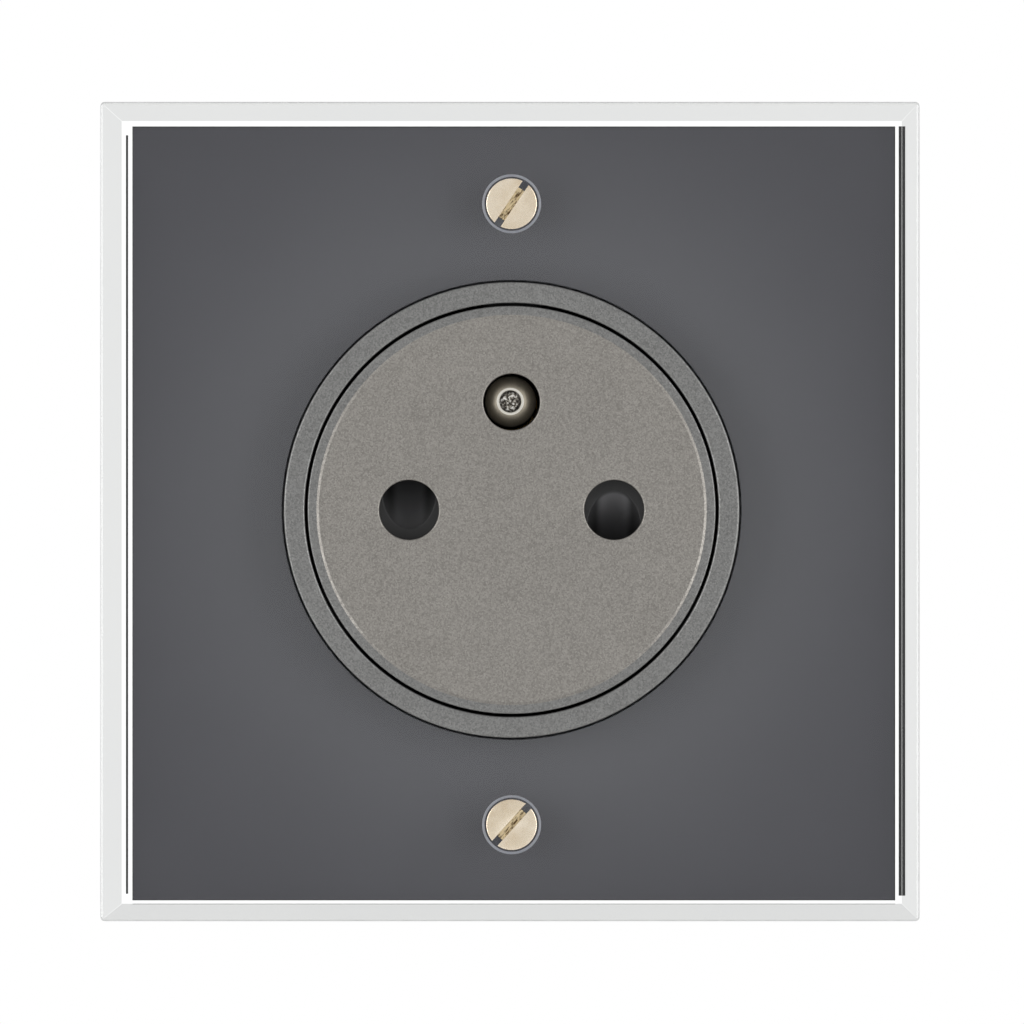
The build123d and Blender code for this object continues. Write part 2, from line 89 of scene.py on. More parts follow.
# Heights of the two plate screws, and the earth pin's axis in X and Z
SCREW_HEIGHTS = (-29.15, 28.35)
EARTH_AXIS = (-0.12, 10.05)
# Turns a prism's outline from X and Y to X and Z, with its height towards -Y
UPRIGHT = Matrix.Rotation(math.radians(90), 4, "X")

Point = tuple[float, float]
Triple = tuple[float, float, float]


class Body(Enum):
    """The bodies that pieces ride on."""

    BASE = "socket_base"
    FACE = "face"
    SHUTTER = "shutter_body"


class Pattern(Enum):
    """How a finish varies over a surface."""

    GRAIN = "even grain"
    STREAKS = "streaks along one axis"
    SPANGLE = "crystal cells"


def linear(code: str) -> tuple[float, float, float, float]:
    """Turns an sRGB hex colour to linear light.

    Args:
        code: Six hex digits.

    Returns:
        Red, green, blue and an alpha of one.
    """
    channels = []
    for start in (0, 2, 4):
        value = int(code[start : start + 2], 16) / 255
        channels.append(value / 12.92 if value <= 0.04045 else ((value + 0.055) / 1.055) ** 2.4)
    return channels[0], channels[1], channels[2], 1.0


def per_mm(size: float) -> float:
    """The texture scale whose features are about this many millimetres wide."""
    return 1 / (size * MM)


def fill(node: Node, inputs: Mapping[Any, Any]) -> None:
    """Gives a node's inputs what they get.

    Args:
        node: The node.
        inputs: A value, an output, or a node for its first output, by socket name or number.
    """
    for key, given in inputs.items():
        source = given.outputs[0] if isinstance(given, Node) else given
        if isinstance(source, NodeSocket):
            node.id_data.links.new(source, node.inputs[key])
        else:
            node.inputs[key].default_value = source


def add_node(
    tree: NodeTree, kind: str, inputs: Mapping[Any, Any] | None = None, **settings: Any
) -> Node:
    """Adds a node with its settings and links.

    Args:
        tree: The tree that gets the node.
        kind: The node's type name, without its start where that is ShaderNode.
        inputs: What its inputs get, as for fill.
        settings: Properties of the node.

    Returns:
        The new node.
    """
    node = tree.nodes.new(kind if "Node" in kind else "ShaderNode" + kind)
    for key, value in settings.items():
        setattr(node, key, value)
    fill(node, inputs or {})
    return node


def start_nodes(shader: Node) -> tuple[Any, NodeSocket]:
    """Gives what adds nodes to a shader's tree, and the output with places on the piece."""
    add = partial(add_node, shader.id_data)
    return add, add("TexCoord").outputs["Object"]


def overlay(shader: Node, socket: str, value: Any, share: Node) -> None:
    """Mixes a value over what a shader's socket already gets.

    Args:
        shader: The shader.
        socket: The socket's name.
        value: A colour or a number, as the socket takes it.
        share: The node that says how much of the value shows.
    """
    wanted = shader.inputs[socket]
    kind, first, second, result = ("RGBA", 6, 7, 2) if wanted.type == "RGBA" else ("FLOAT", 2, 3, 0)
    inputs = {0: share, first: wanted.links[0].from_socket, second: value}
    fill(shader, {socket: add_node(shader.id_data, "Mix", inputs, data_type=kind).outputs[result]})


def reach_from(place: NodeSocket, axis: Point = (0.0, 0.0)) -> NodeSocket:
    """Measures the distance from an axis along Y.

    Args:
        place: The coordinates' output.
        axis: The axis' X and Z in millimetres.

    Returns:
        The output with the distance in metres.
    """
    add = partial(add_node, place.id_data)
    level = add("VectorMath", {0: place, 1: (1.0, 0.0, 1.0)}, operation="MULTIPLY")
    centre = (axis[0] * MM, 0.0, axis[1] * MM)
    return add("VectorMath", {0: level, 1: centre}, operation="DISTANCE").outputs["Value"]


@dataclass(frozen=True)
class Finish:
    """A solid finish: two close colours, a grain, and a roughness that follows the grain.

    Fields give colours as hex, sizes in millimetres and roughness from 0 to 1.
    """

    name: str
    colour: str
    shade: str
    roughness: float
    spread: float
    grain: float
    cloud: float
    relief: float
    metallic: float = 0.0
    pattern: Pattern = Pattern.GRAIN
    stretch: Triple = (1.0, 1.0, 1.0)
    specular: float = 0.5

    def material(self) -> Material:
        """Makes the finish's material on first use.

        Returns:
            The material.
        """
        made = bpy.data.materials.get(self.name)
        if made is None:
            made = bpy.data.materials.new(self.name)
            made.use_nodes = True
            self.dress(made.node_tree.nodes["Principled BSDF"])
        return made

    def dress(self, shader: Node) -> None:
        """Builds the node tree round the shader.

        Args:
            shader: The material's surface shader.
        """
        add, place = start_nodes(shader)
        if self.pattern is Pattern.STREAKS:
            place = add("Mapping", {"Vector": place, "Scale": self.stretch}).outputs[0]
        size = {"Vector": place, "Scale": per_mm(self.grain)}
        grain = add("TexNoise", {**size, "Detail": 3.0, "Roughness": 0.6})
        cloud = self.clouds(place)
        both = add("Mix", {0: 0.5, 2: cloud, 3: grain}, data_type="FLOAT")
        low, high = TONE_SPAN
        tone = add("MapRange", {"Value": both, "From Min": low, "From Max": high})
        self.lay(shader, tone, grain, GLOSS_SPAN)
        bump = add("Bump", {"Height": grain, "Strength": 1.0, "Distance": self.relief * MM})
        fill(shader, {"Normal": bump, "Specular IOR Level": self.specular})

    def lay(self, shader: Node, tone: Node, skin: Any, span: Point = (0.0, 1.0)) -> None:
        """Links the two colours and the roughness to the shader.

        Args:
            shader: The material's surface shader.
            tone: What mixes the colours.
            skin: What the roughness follows.
            span: The skin's values where it is least and most rough.
        """
        add = partial(add_node, shader.id_data)
        colours = {0: tone, 6: linear(self.colour), 7: linear(self.shade)}
        colour = add("Mix", colours, data_type="RGBA").outputs[2]
        limits = {"To Min": self.roughness - self.spread, "To Max": self.roughness + self.spread}
        gloss = add("MapRange", {"Value": skin, "From Min": span[0], "From Max": span[1], **limits})
        fill(shader, {"Base Color": colour, "Roughness": gloss, "Metallic": self.metallic})

    def clouds(self, place: NodeSocket) -> NodeSocket:
        """Adds the broad pattern.

        Args:
            place: The coordinates' output.

        Returns:
            The output with the pattern's value.
        """
        add = partial(add_node, place.id_data)
        size = {"Vector": place, "Scale": per_mm(self.cloud)}
        if self.pattern is Pattern.SPANGLE:
            return add("SeparateColor", {0: add("TexVoronoi", size).outputs["Color"]}).outputs[0]
        return add("TexNoise", {**size, "Detail": 2.0}).outputs["Fac"]


@dataclass(frozen=True)
class FlakeLacquer(Finish):
    """A metallic lacquer: small flakes, each tilted and toned a little differently."""

    flake: float = 0.13
    tilt: float = 0.2
    cloud_share: float = 0.25

    def dress(self, shader: Node) -> None:
        """Builds the lacquer's flakes round the shader.

        Args:
            shader: The material's surface shader.
        """
        add, place = start_nodes(shader)
        cells = add("TexVoronoi", {"Vector": place, "Scale": per_mm(self.flake)})
        flake = cells.outputs["Color"]
        tones = add("SeparateColor", {0: flake}).outputs
        both = {0: self.cloud_share, 2: tones[1], 3: self.clouds(place)}
        self.lay(shader, add("Mix", both, data_type="FLOAT"), tones[2])
        lean = add("VectorMath", {0: flake, 1: (0.5, 0.5, 0.5)}, operation="SUBTRACT")
        part = add("VectorMath", {0: lean, "Scale": self.tilt}, operation="SCALE")
        normal = add("NewGeometry").outputs["Normal"]
        tilted = add("VectorMath", {0: normal, 1: part}, operation="ADD")
        fill(shader, {"Normal": add("VectorMath", {0: tilted}, operation="NORMALIZE")})


@dataclass(frozen=True)
class SlottedMetal(Finish):
    """Plated metal with old grime, and dark dirt that also paints the shade in the slot, laid below
    a level, such as in a screw's slot.

    The grime and the dirt lie in streaks along the slots, at an angle up from the right.
    """

    grime: str = "E2D2B0"
    grime_span: Point = (0.2, 0.35)
    # Dark dirt that also stands for painted shade deep in the slot
    dirt_and_shade: str = "5E4A30"
    dirt_and_shade_span: Point = (0.47, 0.6)
    grime_roughness: float = 0.5
    streak: float = 0.16
    streak_length: float = 4.0
    slot_angle: float = 52.0
    clean_y: float = 0.0
    grime_and_shade_y: float = 1.0

    def dress(self, shader: Node) -> None:
        """Builds the metal, then lays streaks of grime, and of dirt that also paints shade, on what
        lies deep.

        Args:
            shader: The material's surface shader.
        """
        super().dress(shader)
        add, place = start_nodes(shader)
        height = add("SeparateXYZ", {0: place}).outputs["Y"]
        levels = {"Value": height, "From Min": self.clean_y * MM, "From Max": self.grime_and_shade_y * MM}
        depth = add("MapRange", levels)
        turn = {"Rotation": (0.0, -math.radians(self.slot_angle), 0.0)}
        stretch = {"Scale": (self.streak_length, 1.0, 1.0)}
        along = add("Mapping", {"Vector": place, **turn, **stretch}, vector_type="TEXTURE")
        size = {"Vector": along, "Scale": per_mm(self.streak)}
        patches = add("TexNoise", {**size, "Detail": 4.0, "Roughness": 0.65})
        # Grime, then dark dirt that doubles as painted shade, both only below the clean level
        for colour, (low, high) in ((self.grime, self.grime_span), (self.dirt_and_shade, self.dirt_and_shade_span)):
            streaks = add("MapRange", {"Value": patches, "From Min": low, "From Max": high})
            share = add("Math", {0: depth, 1: streaks}, operation="MULTIPLY")
            overlay(shader, "Base Color", linear(colour), share)
            overlay(shader, "Roughness", self.grime_roughness, share)


@dataclass(frozen=True)
class LitRamp(Finish):
    """Moulded plastic with painted light on its ramps: paler below a front level, most on the right
    ramp.

    On the left ramp only the deep parts are as pale. The painted light lies on the middle of each
    ramp, at a distance from the axis, and its flanks keep the dark plastic as painted shade.
    """

    ramp_light: str = "626264"
    left_light_share: float = 0.2
    middle: float = 1.0
    reach: float = 9.5
    shaded_flank: Point = (1.0, 1.8)
    front_y: float = 0.0
    lit_y: float = 0.1
    deep_y: float = 1.0

    def dress(self, shader: Node) -> None:
        """Builds the plastic, then the painted light and shade on its ramps.

        Args:
            shader: The material's surface shader.
        """
        super().dress(shader)
        add, place = start_nodes(shader)
        parts = add("SeparateXYZ", {0: place}).outputs
        rises = []
        for axis, start, end, least in (
            ("Y", self.front_y, self.lit_y, 0.0),
            ("Y", self.lit_y, self.deep_y, self.left_light_share),
            ("X", -self.middle, self.middle, 0.0),
        ):
            span = {"From Min": start * MM, "From Max": end * MM, "To Min": least}
            rises.append(add("MapRange", {"Value": parts[axis], **span}))
        lit_part = add("Math", {0: rises[1], 1: rises[2]}, operation="MAXIMUM")
        share = add("Math", {0: rises[0], 1: lit_part}, operation="MULTIPLY")
        outward = add("Math", {0: parts["X"]}, operation="ABSOLUTE")
        aside = add("Math", {0: outward, 1: self.reach * MM}, operation="SUBTRACT")
        offset = add("Math", {0: aside}, operation="ABSOLUTE")
        span = {"Value": offset, "From Min": self.shaded_flank[1] * MM, "From Max": self.shaded_flank[0] * MM}
        unshaded = add("MapRange", span, interpolation_type="SMOOTHSTEP")
        seen = add("Math", {0: share, 1: unshaded}, operation="MULTIPLY")
        # Painted light on the ramps, fading to painted shade on their flanks
        overlay(shader, "Base Color", linear(self.ramp_light), seen)


@dataclass(frozen=True)
class RubbedMetal(Finish):
    """Dull plated metal, rubbed bright on a band round an axis along Y, with painted shadow near
    the edge of the pitted metal inside the band.
    """

    bright: str = "DAD7CE"
    bright_roughness: float = 0.15
    pit: str = "2E2C2A"
    pit_span: Point = (0.62, 0.4)
    pit_size: float = 0.26
    glint: str = "CBCAC7"
    glint_span: Point = (0.5, 0.68)
    dimple_shadow: Point = (0.7, 0.88)
    dimple_shadow_share: float = 0.6
    axis: Point = (0.0, 0.0)
    band: Point = (0.9, 1.3)
    blur: float = 0.05

    def dress(self, shader: Node) -> None:
        """Builds the dull metal, then the bright band and the pitted metal inside it, darkened
        towards its edge by painted shadow.

        Args:
            shader: The material's surface shader.
        """
        super().dress(shader)
        add, place = start_nodes(shader)
        reach = reach_from(place, self.axis)
        inside, outside = self.band
        sides = []
        for start, end in ((inside - self.blur, inside), (outside + self.blur, outside)):
            span = {"Value": reach, "From Min": start * MM, "From Max": end * MM}
            sides.append(add("MapRange", span, interpolation_type="SMOOTHSTEP"))
        share = add("Math", {0: sides[0], 1: sides[1]}, operation="MULTIPLY")
        overlay(shader, "Base Color", linear(self.bright), share)
        overlay(shader, "Roughness", self.bright_roughness, share)
        limit = (inside - self.blur) * MM
        within = add("Math", {0: reach, 1: limit}, operation="LESS_THAN")
        size = {"Vector": place, "Scale": per_mm(self.pit_size)}
        pits = add("TexNoise", {**size, "Detail": 2.0, "Roughness": 0.6})
        dimple_shadow = [radius * MM for radius in self.dimple_shadow]
        # Dark pits and pale glints at random, then painted shadow towards the dimple's edge
        for colour, source, (low, high), most in (
            (self.pit, pits, self.pit_span, 1.0),
            (self.glint, pits, self.glint_span, 1.0),
            (self.pit, reach, dimple_shadow, self.dimple_shadow_share),
        ):
            span = {"Value": source, "From Min": low, "From Max": high, "To Max": most}
            spots = add("MapRange", span)
            seen = add("Math", {0: spots, 1: within}, operation="MULTIPLY")
            overlay(shader, "Base Color", linear(colour), seen)


@dataclass(frozen=True)
class GlowSheet(Finish):
    """A dull sheet with painted light: paler round its opening, from an inner to an outer radius,
    where the ring shades it.
    """

    pale: str = "505054"
    inner: float = 21.4
    outer: float = 48.0
    power: float = 2.2

    def dress(self, shader: Node) -> None:
        """Builds the sheet, then the painted light round the axis.

        Args:
            shader: The material's surface shader.
        """
        super().dress(shader)
        add, place = start_nodes(shader)
        reach = reach_from(place)
        span = {"Value": reach, "From Min": self.outer * MM, "From Max": self.inner * MM}
        nearness = add("MapRange", span)
        share = add("Math", {0: nearness, 1: self.power}, operation="POWER")
        # Painted light, strongest at the opening
        overlay(shader, "Base Color", linear(self.pale), share)


@dataclass(frozen=True)
class ClearAcrylic(Finish):
    """Clear cast acrylic: it bends what is behind it and lets lamps through."""

    index: float = 1.49
    clear: float = 1.0

    def dress(self, shader: Node) -> None:
        """Builds the clear shader, which casts no solid shadow.

        Args:
            shader: The material's surface shader.
        """
        add, place = start_nodes(shader)
        patterns = []
        for size, detail in ((self.cloud, 1.0), (self.grain, 4.0)):
            scale = {"Vector": place, "Scale": per_mm(size), "Detail": detail}
            patterns.append(add("TexNoise", scale))
        self.lay(shader, *patterns)
        fill(shader, {"IOR": self.index, "Transmission Weight": self.clear})
        rays = add("LightPath").outputs
        unbent = add("BsdfTransparent", {0: linear(self.shade)})
        surface = shader
        for kind in ("Is Shadow Ray", "Is Diffuse Ray"):
            surface = add("MixShader", {0: rays[kind], 1: surface, 2: unbent})
        fill(shader.id_data.nodes["Material Output"], {"Surface": surface})


# Cast acrylic, cut and flame polished: clear, with a faint grey in thick places
ACRYLIC = ClearAcrylic("clear_cast_acrylic", "F7F8F7", "F2F3F3", 0.012, 0.008, 0.8, 20.0, 0.0)
# The same acrylic where a tool has ground it: a pale, frosted skin
GROUND = ClearAcrylic(
    "ground_cast_acrylic", "DCE0EA", "CDD2DE", 0.5, 0.08, 0.15, 0.6, 0.0, clear=0.78
)
# The same acrylic where it was sawn: a duller, greyer skin
SAWN = ClearAcrylic("sawn_cast_acrylic", "BEBFBF", "ACADAD", 0.6, 0.08, 0.2, 0.9, 0.0, clear=0.45)
# Dark ABS sheet bonded to the plate's back: satin and hardly grained, with painted light round the
# opening
PANEL = GlowSheet(
    "satin_dark_abs_sheet", "36363B", "3A3A3F", 0.5, 0.06, 0.16, 9.0, 0.0015, specular=0.05
)
# Nickel plated brass with a pale gold cast, turned: bright edges and soft marks, and grime and dark
# dirt in the slots that also paints their shade
SCREW = SlottedMetal(
    "pale_nickel_plated_brass", "EDE2D0", "CDBBA0", 0.26, 0.08, 0.12, 1.8, 0.006, 1.0,
    clean_y=-6.35, grime_and_shade_y=-5.9,
)
# Metallic lacquer on a pressed ring: neutral grey with a fine sparkle
RING = FlakeLacquer("metallic_lacquer_ring", "5F5F5E", "80807F", 0.42, 0.08, 0.2, 6.0, 0.0, 0.85)
# Metallic lacquer on the moulded disc: a warmer grey, with the same flakes
FACE = FlakeLacquer("metallic_lacquer_face", "6A6763", "8D8A85", 0.44, 0.08, 0.2, 7.0, 0.0, 0.8)
# Black glass-filled nylon: dark with a low sheen and a fine moulded skin, with painted light and
# shade on its ramps
SHUTTER = LitRamp(
    "black_glass_filled_nylon", "2C2C2C", "333334", 0.5, 0.08, 0.1, 1.5, 0.004,
    specular=0.2, front_y=-4.29, lit_y=-4.0, deep_y=-1.4,
)
# Black nylon with hardly any gloss, on the disc's back, near black so that the gap round the disc
# shows as painted shade
BACK = Finish("black_nylon_painted_shade", "0C0C0D", "141415", 0.6, 0.08, 0.2, 3.0, 0.004, specular=0.15)
# Dark moulded nylon of the well and the retainer
INNER = Finish("dark_moulded_nylon", "2B2C2F", "36373A", 0.5, 0.08, 0.22, 6.0, 0.006)
# Pale moulded urea plastic of the contact base: nearly white, a little uneven
HOUSING = Finish("pale_moulded_urea", "E6E4DE", "DBD9D2", 0.45, 0.08, 0.3, 8.0, 0.006)
# Zinc casting, tumbled: grey metal with soft cells and a fine pitted skin
ZINC = Finish(
    "tumbled_zinc_casting", "B0B3B6", "A5A8AC", 0.42, 0.1, 0.25, 1.3, 0.01, 1.0, Pattern.SPANGLE
)
# Zinc plated strip steel, with rolling streaks along its length
CLIP_STEEL = Finish(
    "zinc_plated_strip_steel", "C2C5C8", "ABAFB4", 0.32, 0.08, 0.3, 2.0, 0.004, 1.0,
    Pattern.STREAKS, (1.0, 0.15, 1.0),
)
# Bright spring steel, drawn: darker than the zinc, with fine draw lines
SPRING_STEEL = Finish(
    "bright_drawn_spring_steel", "A3A5A8", "85878B", 0.28, 0.08, 0.14, 1.2, 0.003, 1.0,
    Pattern.STREAKS, (1.0, 0.3, 1.0),
)
# Nickel plated brass pin: brown and dull on its slopes, rubbed bright round the dimple in its tip,
# with painted shadow just inside the dimple's edge
PIN = RubbedMetal(
    "nickel_plated_brass_pin", "8E877A", "7B766B", 0.55, 0.08, 0.09, 0.7, 0.004, 1.0,
    axis=EARTH_AXIS, band=(1.08, 1.22), blur=0.07,
)
# Rolled brass strip: warm yellow, with rolling lines
BRASS = Finish(
    "rolled_brass_strip", "D2B06A", "BC9650", 0.3, 0.1, 0.2, 1.6, 0.004, 1.0,
    Pattern.STREAKS, (1.0, 1.0, 0.2),
)
# Matt black for the strips and bead that paint shade along the panel's edges
SHADE_BLACK = Finish("painted_shade_black", "1A1A1B", "242425", 0.75, 0.08, 0.08, 0.6, 0.01, specular=0.05)
# Matt white card for the floor
CARD = Finish("matt_white_card", "F4F4F3", "EFEFEE", 0.8, 0.05, 2.0, 60.0, 0.0)


def fillet(corners: Sequence[Triple], steps: int) -> list[Point]:
    """Rounds the corners of an open line.

    Args:
        corners: Points with a radius each; a radius of zero stays sharp.
        steps: Points on each rounded corner, less one.

    Returns:
        The rounded line's points.
    """
    line: list[Point] = []
    for k, (a, b, radius) in enumerate(corners):
        here = Vector((a, b))
        if radius <= 0 or k in (0, len(corners) - 1):
            line.append((a, b))
            continue
        back = (Vector(corners[k - 1][:2]) - here).normalized()
        ahead = (Vector(corners[k + 1][:2]) - here).normalized()
        half = back.angle(ahead) / 2
        reach = radius / math.tan(half)
        centre = here + (back + ahead).normalized() * (radius / math.sin(half))
        first = here + back * reach - centre
        last = here + ahead * reach - centre
        for step in range(steps + 1):
            spoke = first.slerp(last, step / steps).normalized() * radius
            line.append((centre.x + spoke.x, centre.y + spoke.y))
    return line


def rectangle(a0: float, a1: float, b0: float, b1: float) -> list[Point]:
    """The corners of a rectangle, counter-clockwise from its lower left."""
    return [(a0, b0), (a1, b0), (a1, b1), (a0, b1)]


def polar(radius: float, angle: float) -> Point:
    """A place in X and Z, its angle counter-clockwise from the right as seen from the front."""
    return radius * math.cos(math.radians(angle)), radius * math.sin(math.radians(angle))


def about_y(angle: float) -> Matrix:
    """A turn about the Y axis, counter-clockwise as seen from the front."""
    return Matrix.Rotation(-math.radians(angle), 4, "Y")


def placed(name: str, data: Any) -> Object:
    """Makes an object and links it to the scene.

    Args:
        name: The object's name.
        data: What it holds.

    Returns:
        The object.
    """
    made = bpy.data.objects.new(name, data)
    bpy.context.scene.collection.objects.link(made)
    return made


def object_of(mesh: bmesh.types.BMesh, name: str, smooth: float) -> Object:
    """Turns a mesh in the making to an object in the scene.

    Args:
        mesh: The mesh in metres, which is used up.
        name: The object's name.
        smooth: Edges flatter than this many degrees are shaded smooth.

    Returns:
        The object.
    """
    data = bpy.data.meshes.new(name)
    mesh.to_mesh(data)
    mesh.free()
    made = placed(name, data)
    shade(made, smooth)
    return made


class Shape:
    """A mesh in the making, in millimetres."""

    def __init__(self) -> None:
        """Starts empty."""
        self.mesh = bmesh.new()

    def loft(self, rings: Sequence[Sequence[Vector]], closed: bool = False) -> "Shape":
        """Joins rings of points by a skin, and caps its ends.

        Args:
            rings: Rings of as many points each, or single points for a pole.
            closed: Whether the last ring joins the first.

        Returns:
            The shape itself.
        """
        made = [[self.mesh.verts.new(p) for p in ring] for ring in rings]
        pairs = list(zip(made, made[1:]))
        if closed:
            pairs.append((made[-1], made[0]))
        for low, high in pairs:
            count = max(len(low), len(high))
            for k in range(count):
                corners = ((low, k), (low, k + 1), (high, k + 1), (high, k))
                face = [ring[step % count % len(ring)] for ring, step in corners]
                self.mesh.faces.new(list(dict.fromkeys(face)))
        if not closed:
            for ring in (made[0], made[-1]):
                if len(ring) > 2:
                    self.mesh.faces.new(ring)
        return self

    def lathe(self, profile: Sequence[Point], turns: int, x: float = 0, z: float = 0) -> "Shape":
        """Turns an outline of radius and Y about an axis along Y.

        Args:
            profile: Radius and Y of each point; closed if both ends are off the axis.
            turns: Steps round the axis.
            x: The axis' place.
            z: The axis' place.

        Returns:
            The shape itself.
        """
        rings = []
        for radius, y in profile:
            spots = [(0.0, 0.0)]
            if radius >= ON_AXIS:
                spots = [polar(radius, 360 * k / turns) for k in range(turns)]
            rings.append([Vector((x + a, y, z + b)) for a, b in spots])
        return self.loft(rings, profile[0][0] > ON_AXIS and profile[-1][0] > ON_AXIS)

    def prism(self, outline: Sequence[Point], low: float, high: float, place: Matrix) -> "Shape":
        """Makes an outline of two axes solid between two heights on the third, put in place."""
        ends = ([place @ Vector((a, b, height)) for a, b in outline] for height in (low, high))
        return self.loft(list(ends))

    def piece(self, name: str, smooth: float = SMOOTH) -> Object:
        """Turns the shape to an object in metres, its faces pointing outwards.

        Args:
            name: The object's name.
            smooth: Edges flatter than this many degrees are shaded smooth.

        Returns:
            The object.
        """
        bmesh.ops.remove_doubles(self.mesh, verts=self.mesh.verts, dist=SAME_POINT)
        bmesh.ops.recalc_face_normals(self.mesh, faces=self.mesh.faces)
        bmesh.ops.scale(self.mesh, vec=(MM, MM, MM), verts=self.mesh.verts)
        return object_of(self.mesh, name, smooth)


def shade(piece: Object, smooth: float) -> None:
    """Shades a piece smooth, but for edges sharper than an angle in degrees."""
    piece.data.polygons.foreach_set("use_smooth", [True] * len(piece.data.polygons))
    piece.data.set_sharp_from_angle(angle=math.radians(smooth))


def settle(piece: Object) -> None:
    """Turns a piece with modifiers to a plain mesh.

    Args:
        piece: The piece.
    """
    graph = bpy.context.evaluated_depsgraph_get()
    piece.data = bpy.data.meshes.new_from_object(piece.evaluated_get(graph))
    piece.modifiers.clear()


def carve(piece: Object, cutters: Sequence[Object], smooth: float = SMOOTH) -> None:
    """Cuts tools out of a piece and removes them.

    Args:
        piece: The piece that is cut.
        cutters: The tools.
        smooth: Edges flatter than this many degrees are shaded smooth.
    """
    for cutter in cutters:
        cut = piece.modifiers.new("cut", "BOOLEAN")
        cut.operation = "DIFFERENCE"
        cut.solver = "EXACT"
        cut.object = cutter
    settle(piece)
    for cutter in cutters:
        bpy.data.objects.remove(cutter)
    shade(piece, smooth)


def softened(node: str, width: float, segments: int = 2, sharp: float = 40.0) -> Object:
    """Copies a CAD node with its edges rounded as a moulding's or a casting's are.

    Args:
        node: The CAD node.
        width: The rounding's width in millimetres.
        segments: Faces across the rounding.
        sharp: Edges sharper than this many degrees are rounded.

    Returns:
        The copy, named for the node.
    """
    mesh = bmesh.new()
    mesh.from_mesh(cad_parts[node].data)
    bmesh.ops.remove_doubles(mesh, verts=mesh.verts, dist=SAME_CAD_POINT)
    flat = math.radians(FLAT_ANGLE)
    bmesh.ops.dissolve_limit(mesh, angle_limit=flat, verts=mesh.verts, edges=mesh.edges)
    folds = [e for e in mesh.edges if len(e.link_faces) == 2]
    bmesh.ops.bevel(
        mesh,
        geom=[e for e in folds if e.calc_face_angle() > math.radians(sharp)],
        offset=width * MM,
        offset_type="OFFSET",
        segments=segments,
        profile=EDGE_FULLNESS,
        affect="EDGES",
        clamp_overlap=True,
    )
    made = object_of(mesh, node + "_softened", COPY_SMOOTH)
    even = made.modifiers.new("even", "WEIGHTED_NORMAL")
    even.keep_sharp = True
    even.weight = 100
    settle(made)
    return made


def finish_piece(piece: Object, finish: Finish, body: Body | None, slot: str, *nodes: str) -> None:
    """Gives a piece its material and body, and hides the CAD nodes it replaces.

    Args:
        piece: The piece.
        finish: Its finish.
        body: The body it rides on, or None where a joint bends it.
        slot: The record's material slot; not used.
        nodes: The CAD nodes it replaces.
    """
    piece.data.materials.clear()
    piece.data.materials.append(finish.material())
    if body is not None:
        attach(piece, body.value)
    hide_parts(*nodes)
    LOG.info("%s: %d faces, %s", piece.name, len(piece.data.polygons), finish.name)


def start_tree(name: str, kinds: Mapping[str, str]) -> tuple[NodeTree, Any]:
    """Starts a geometry tree.

    Args:
        name: The tree's name.
        kinds: The kind of each named input.

    Returns:
        The tree, and the sockets that give its inputs.
    """
    tree = bpy.data.node_groups.new(name, "GeometryNodeTree")
    for label, kind in kinds.items():
        tree.interface.new_socket(label, in_out="INPUT", socket_type="NodeSocket" + kind)
    tree.interface.new_socket("Geometry", in_out="OUTPUT", socket_type="NodeSocketGeometry")
    return tree, add_node(tree, "NodeGroupInput").outputs


def end_tree(tree: NodeTree, shape: Node, material: NodeSocket) -> NodeTree:
    """Ends a geometry tree with real meshes and their material.

    Args:
        tree: The tree.
        shape: The node that gives the shape.
        material: The output that gives the material.

    Returns:
        The tree.
    """
    real = add_node(tree, "GeometryNodeRealizeInstances", {0: shape})
    coated = add_node(tree, "GeometryNodeSetMaterial", {"Geometry": real, "Material": material})
    add_node(tree, "NodeGroupOutput", {0: coated})
    return tree


def coil_tree() -> NodeTree:
    """Makes the tree for a round wire wound about the Y axis.

    Returns:
        The tree, with its sizes as named inputs in metres.
    """
    kinds = dict.fromkeys(("Radius", "Wire", "Turns", "Front", "Back"), "Float")
    kinds |= {"Steps": "Int", "Sides": "Int", "Material": "Material"}
    tree, given = start_tree("wound_wire", kinds)
    add = partial(add_node, tree)
    length = add("Math", {0: given["Front"], 1: given["Back"]}, operation="SUBTRACT")
    turns = {"Resolution": given["Steps"], "Rotations": given["Turns"], "Height": length}
    radii = {"Start Radius": given["Radius"], "End Radius": given["Radius"]}
    winding = add("GeometryNodeCurveSpiral", {**turns, **radii})
    start = add("CombineXYZ", {"Y": given["Back"]})
    turn = {"Translation": start, "Rotation": (-math.pi / 2, 0.0, 0.0)}
    laid = add("GeometryNodeTransform", {"Geometry": winding, **turn})
    circle = {"Radius": given["Wire"], "Resolution": given["Sides"]}
    section = add("GeometryNodeCurvePrimitiveCircle", circle)
    sweep = {"Curve": laid, "Profile Curve": section, "Fill Caps": True}
    return end_tree(tree, add("GeometryNodeCurveToMesh", sweep), given["Material"])


def copies_tree() -> NodeTree:
    """Makes the tree that stands copies of a piece in a row along Z, each turned about its axis.

    Returns:
        The tree, with the row and the angles as named inputs.
    """
    kinds = {"Geometry": "Geometry", "Count": "Int", "Start": "Vector", "Step": "Vector"}
    kinds |= {"First Angle": "Float", "Angle Step": "Float", "Material": "Material"}
    tree, given = start_tree("turned_copies", kinds)
    add = partial(add_node, tree)
    line = {"Count": given["Count"], "Start Location": given["Start"], "Offset": given["Step"]}
    row = add("GeometryNodeMeshLine", line)
    number = add("GeometryNodeInputIndex")
    angles = {0: number, 1: given["Angle Step"], 2: given["First Angle"]}
    turn = add("Math", angles, operation="MULTIPLY_ADD")
    about = add("CombineXYZ", {"Y": turn})
    copies = {"Points": row, "Instance": given["Geometry"], "Rotation": about}
    return end_tree(tree, add("GeometryNodeInstanceOnPoints", copies), given["Material"])


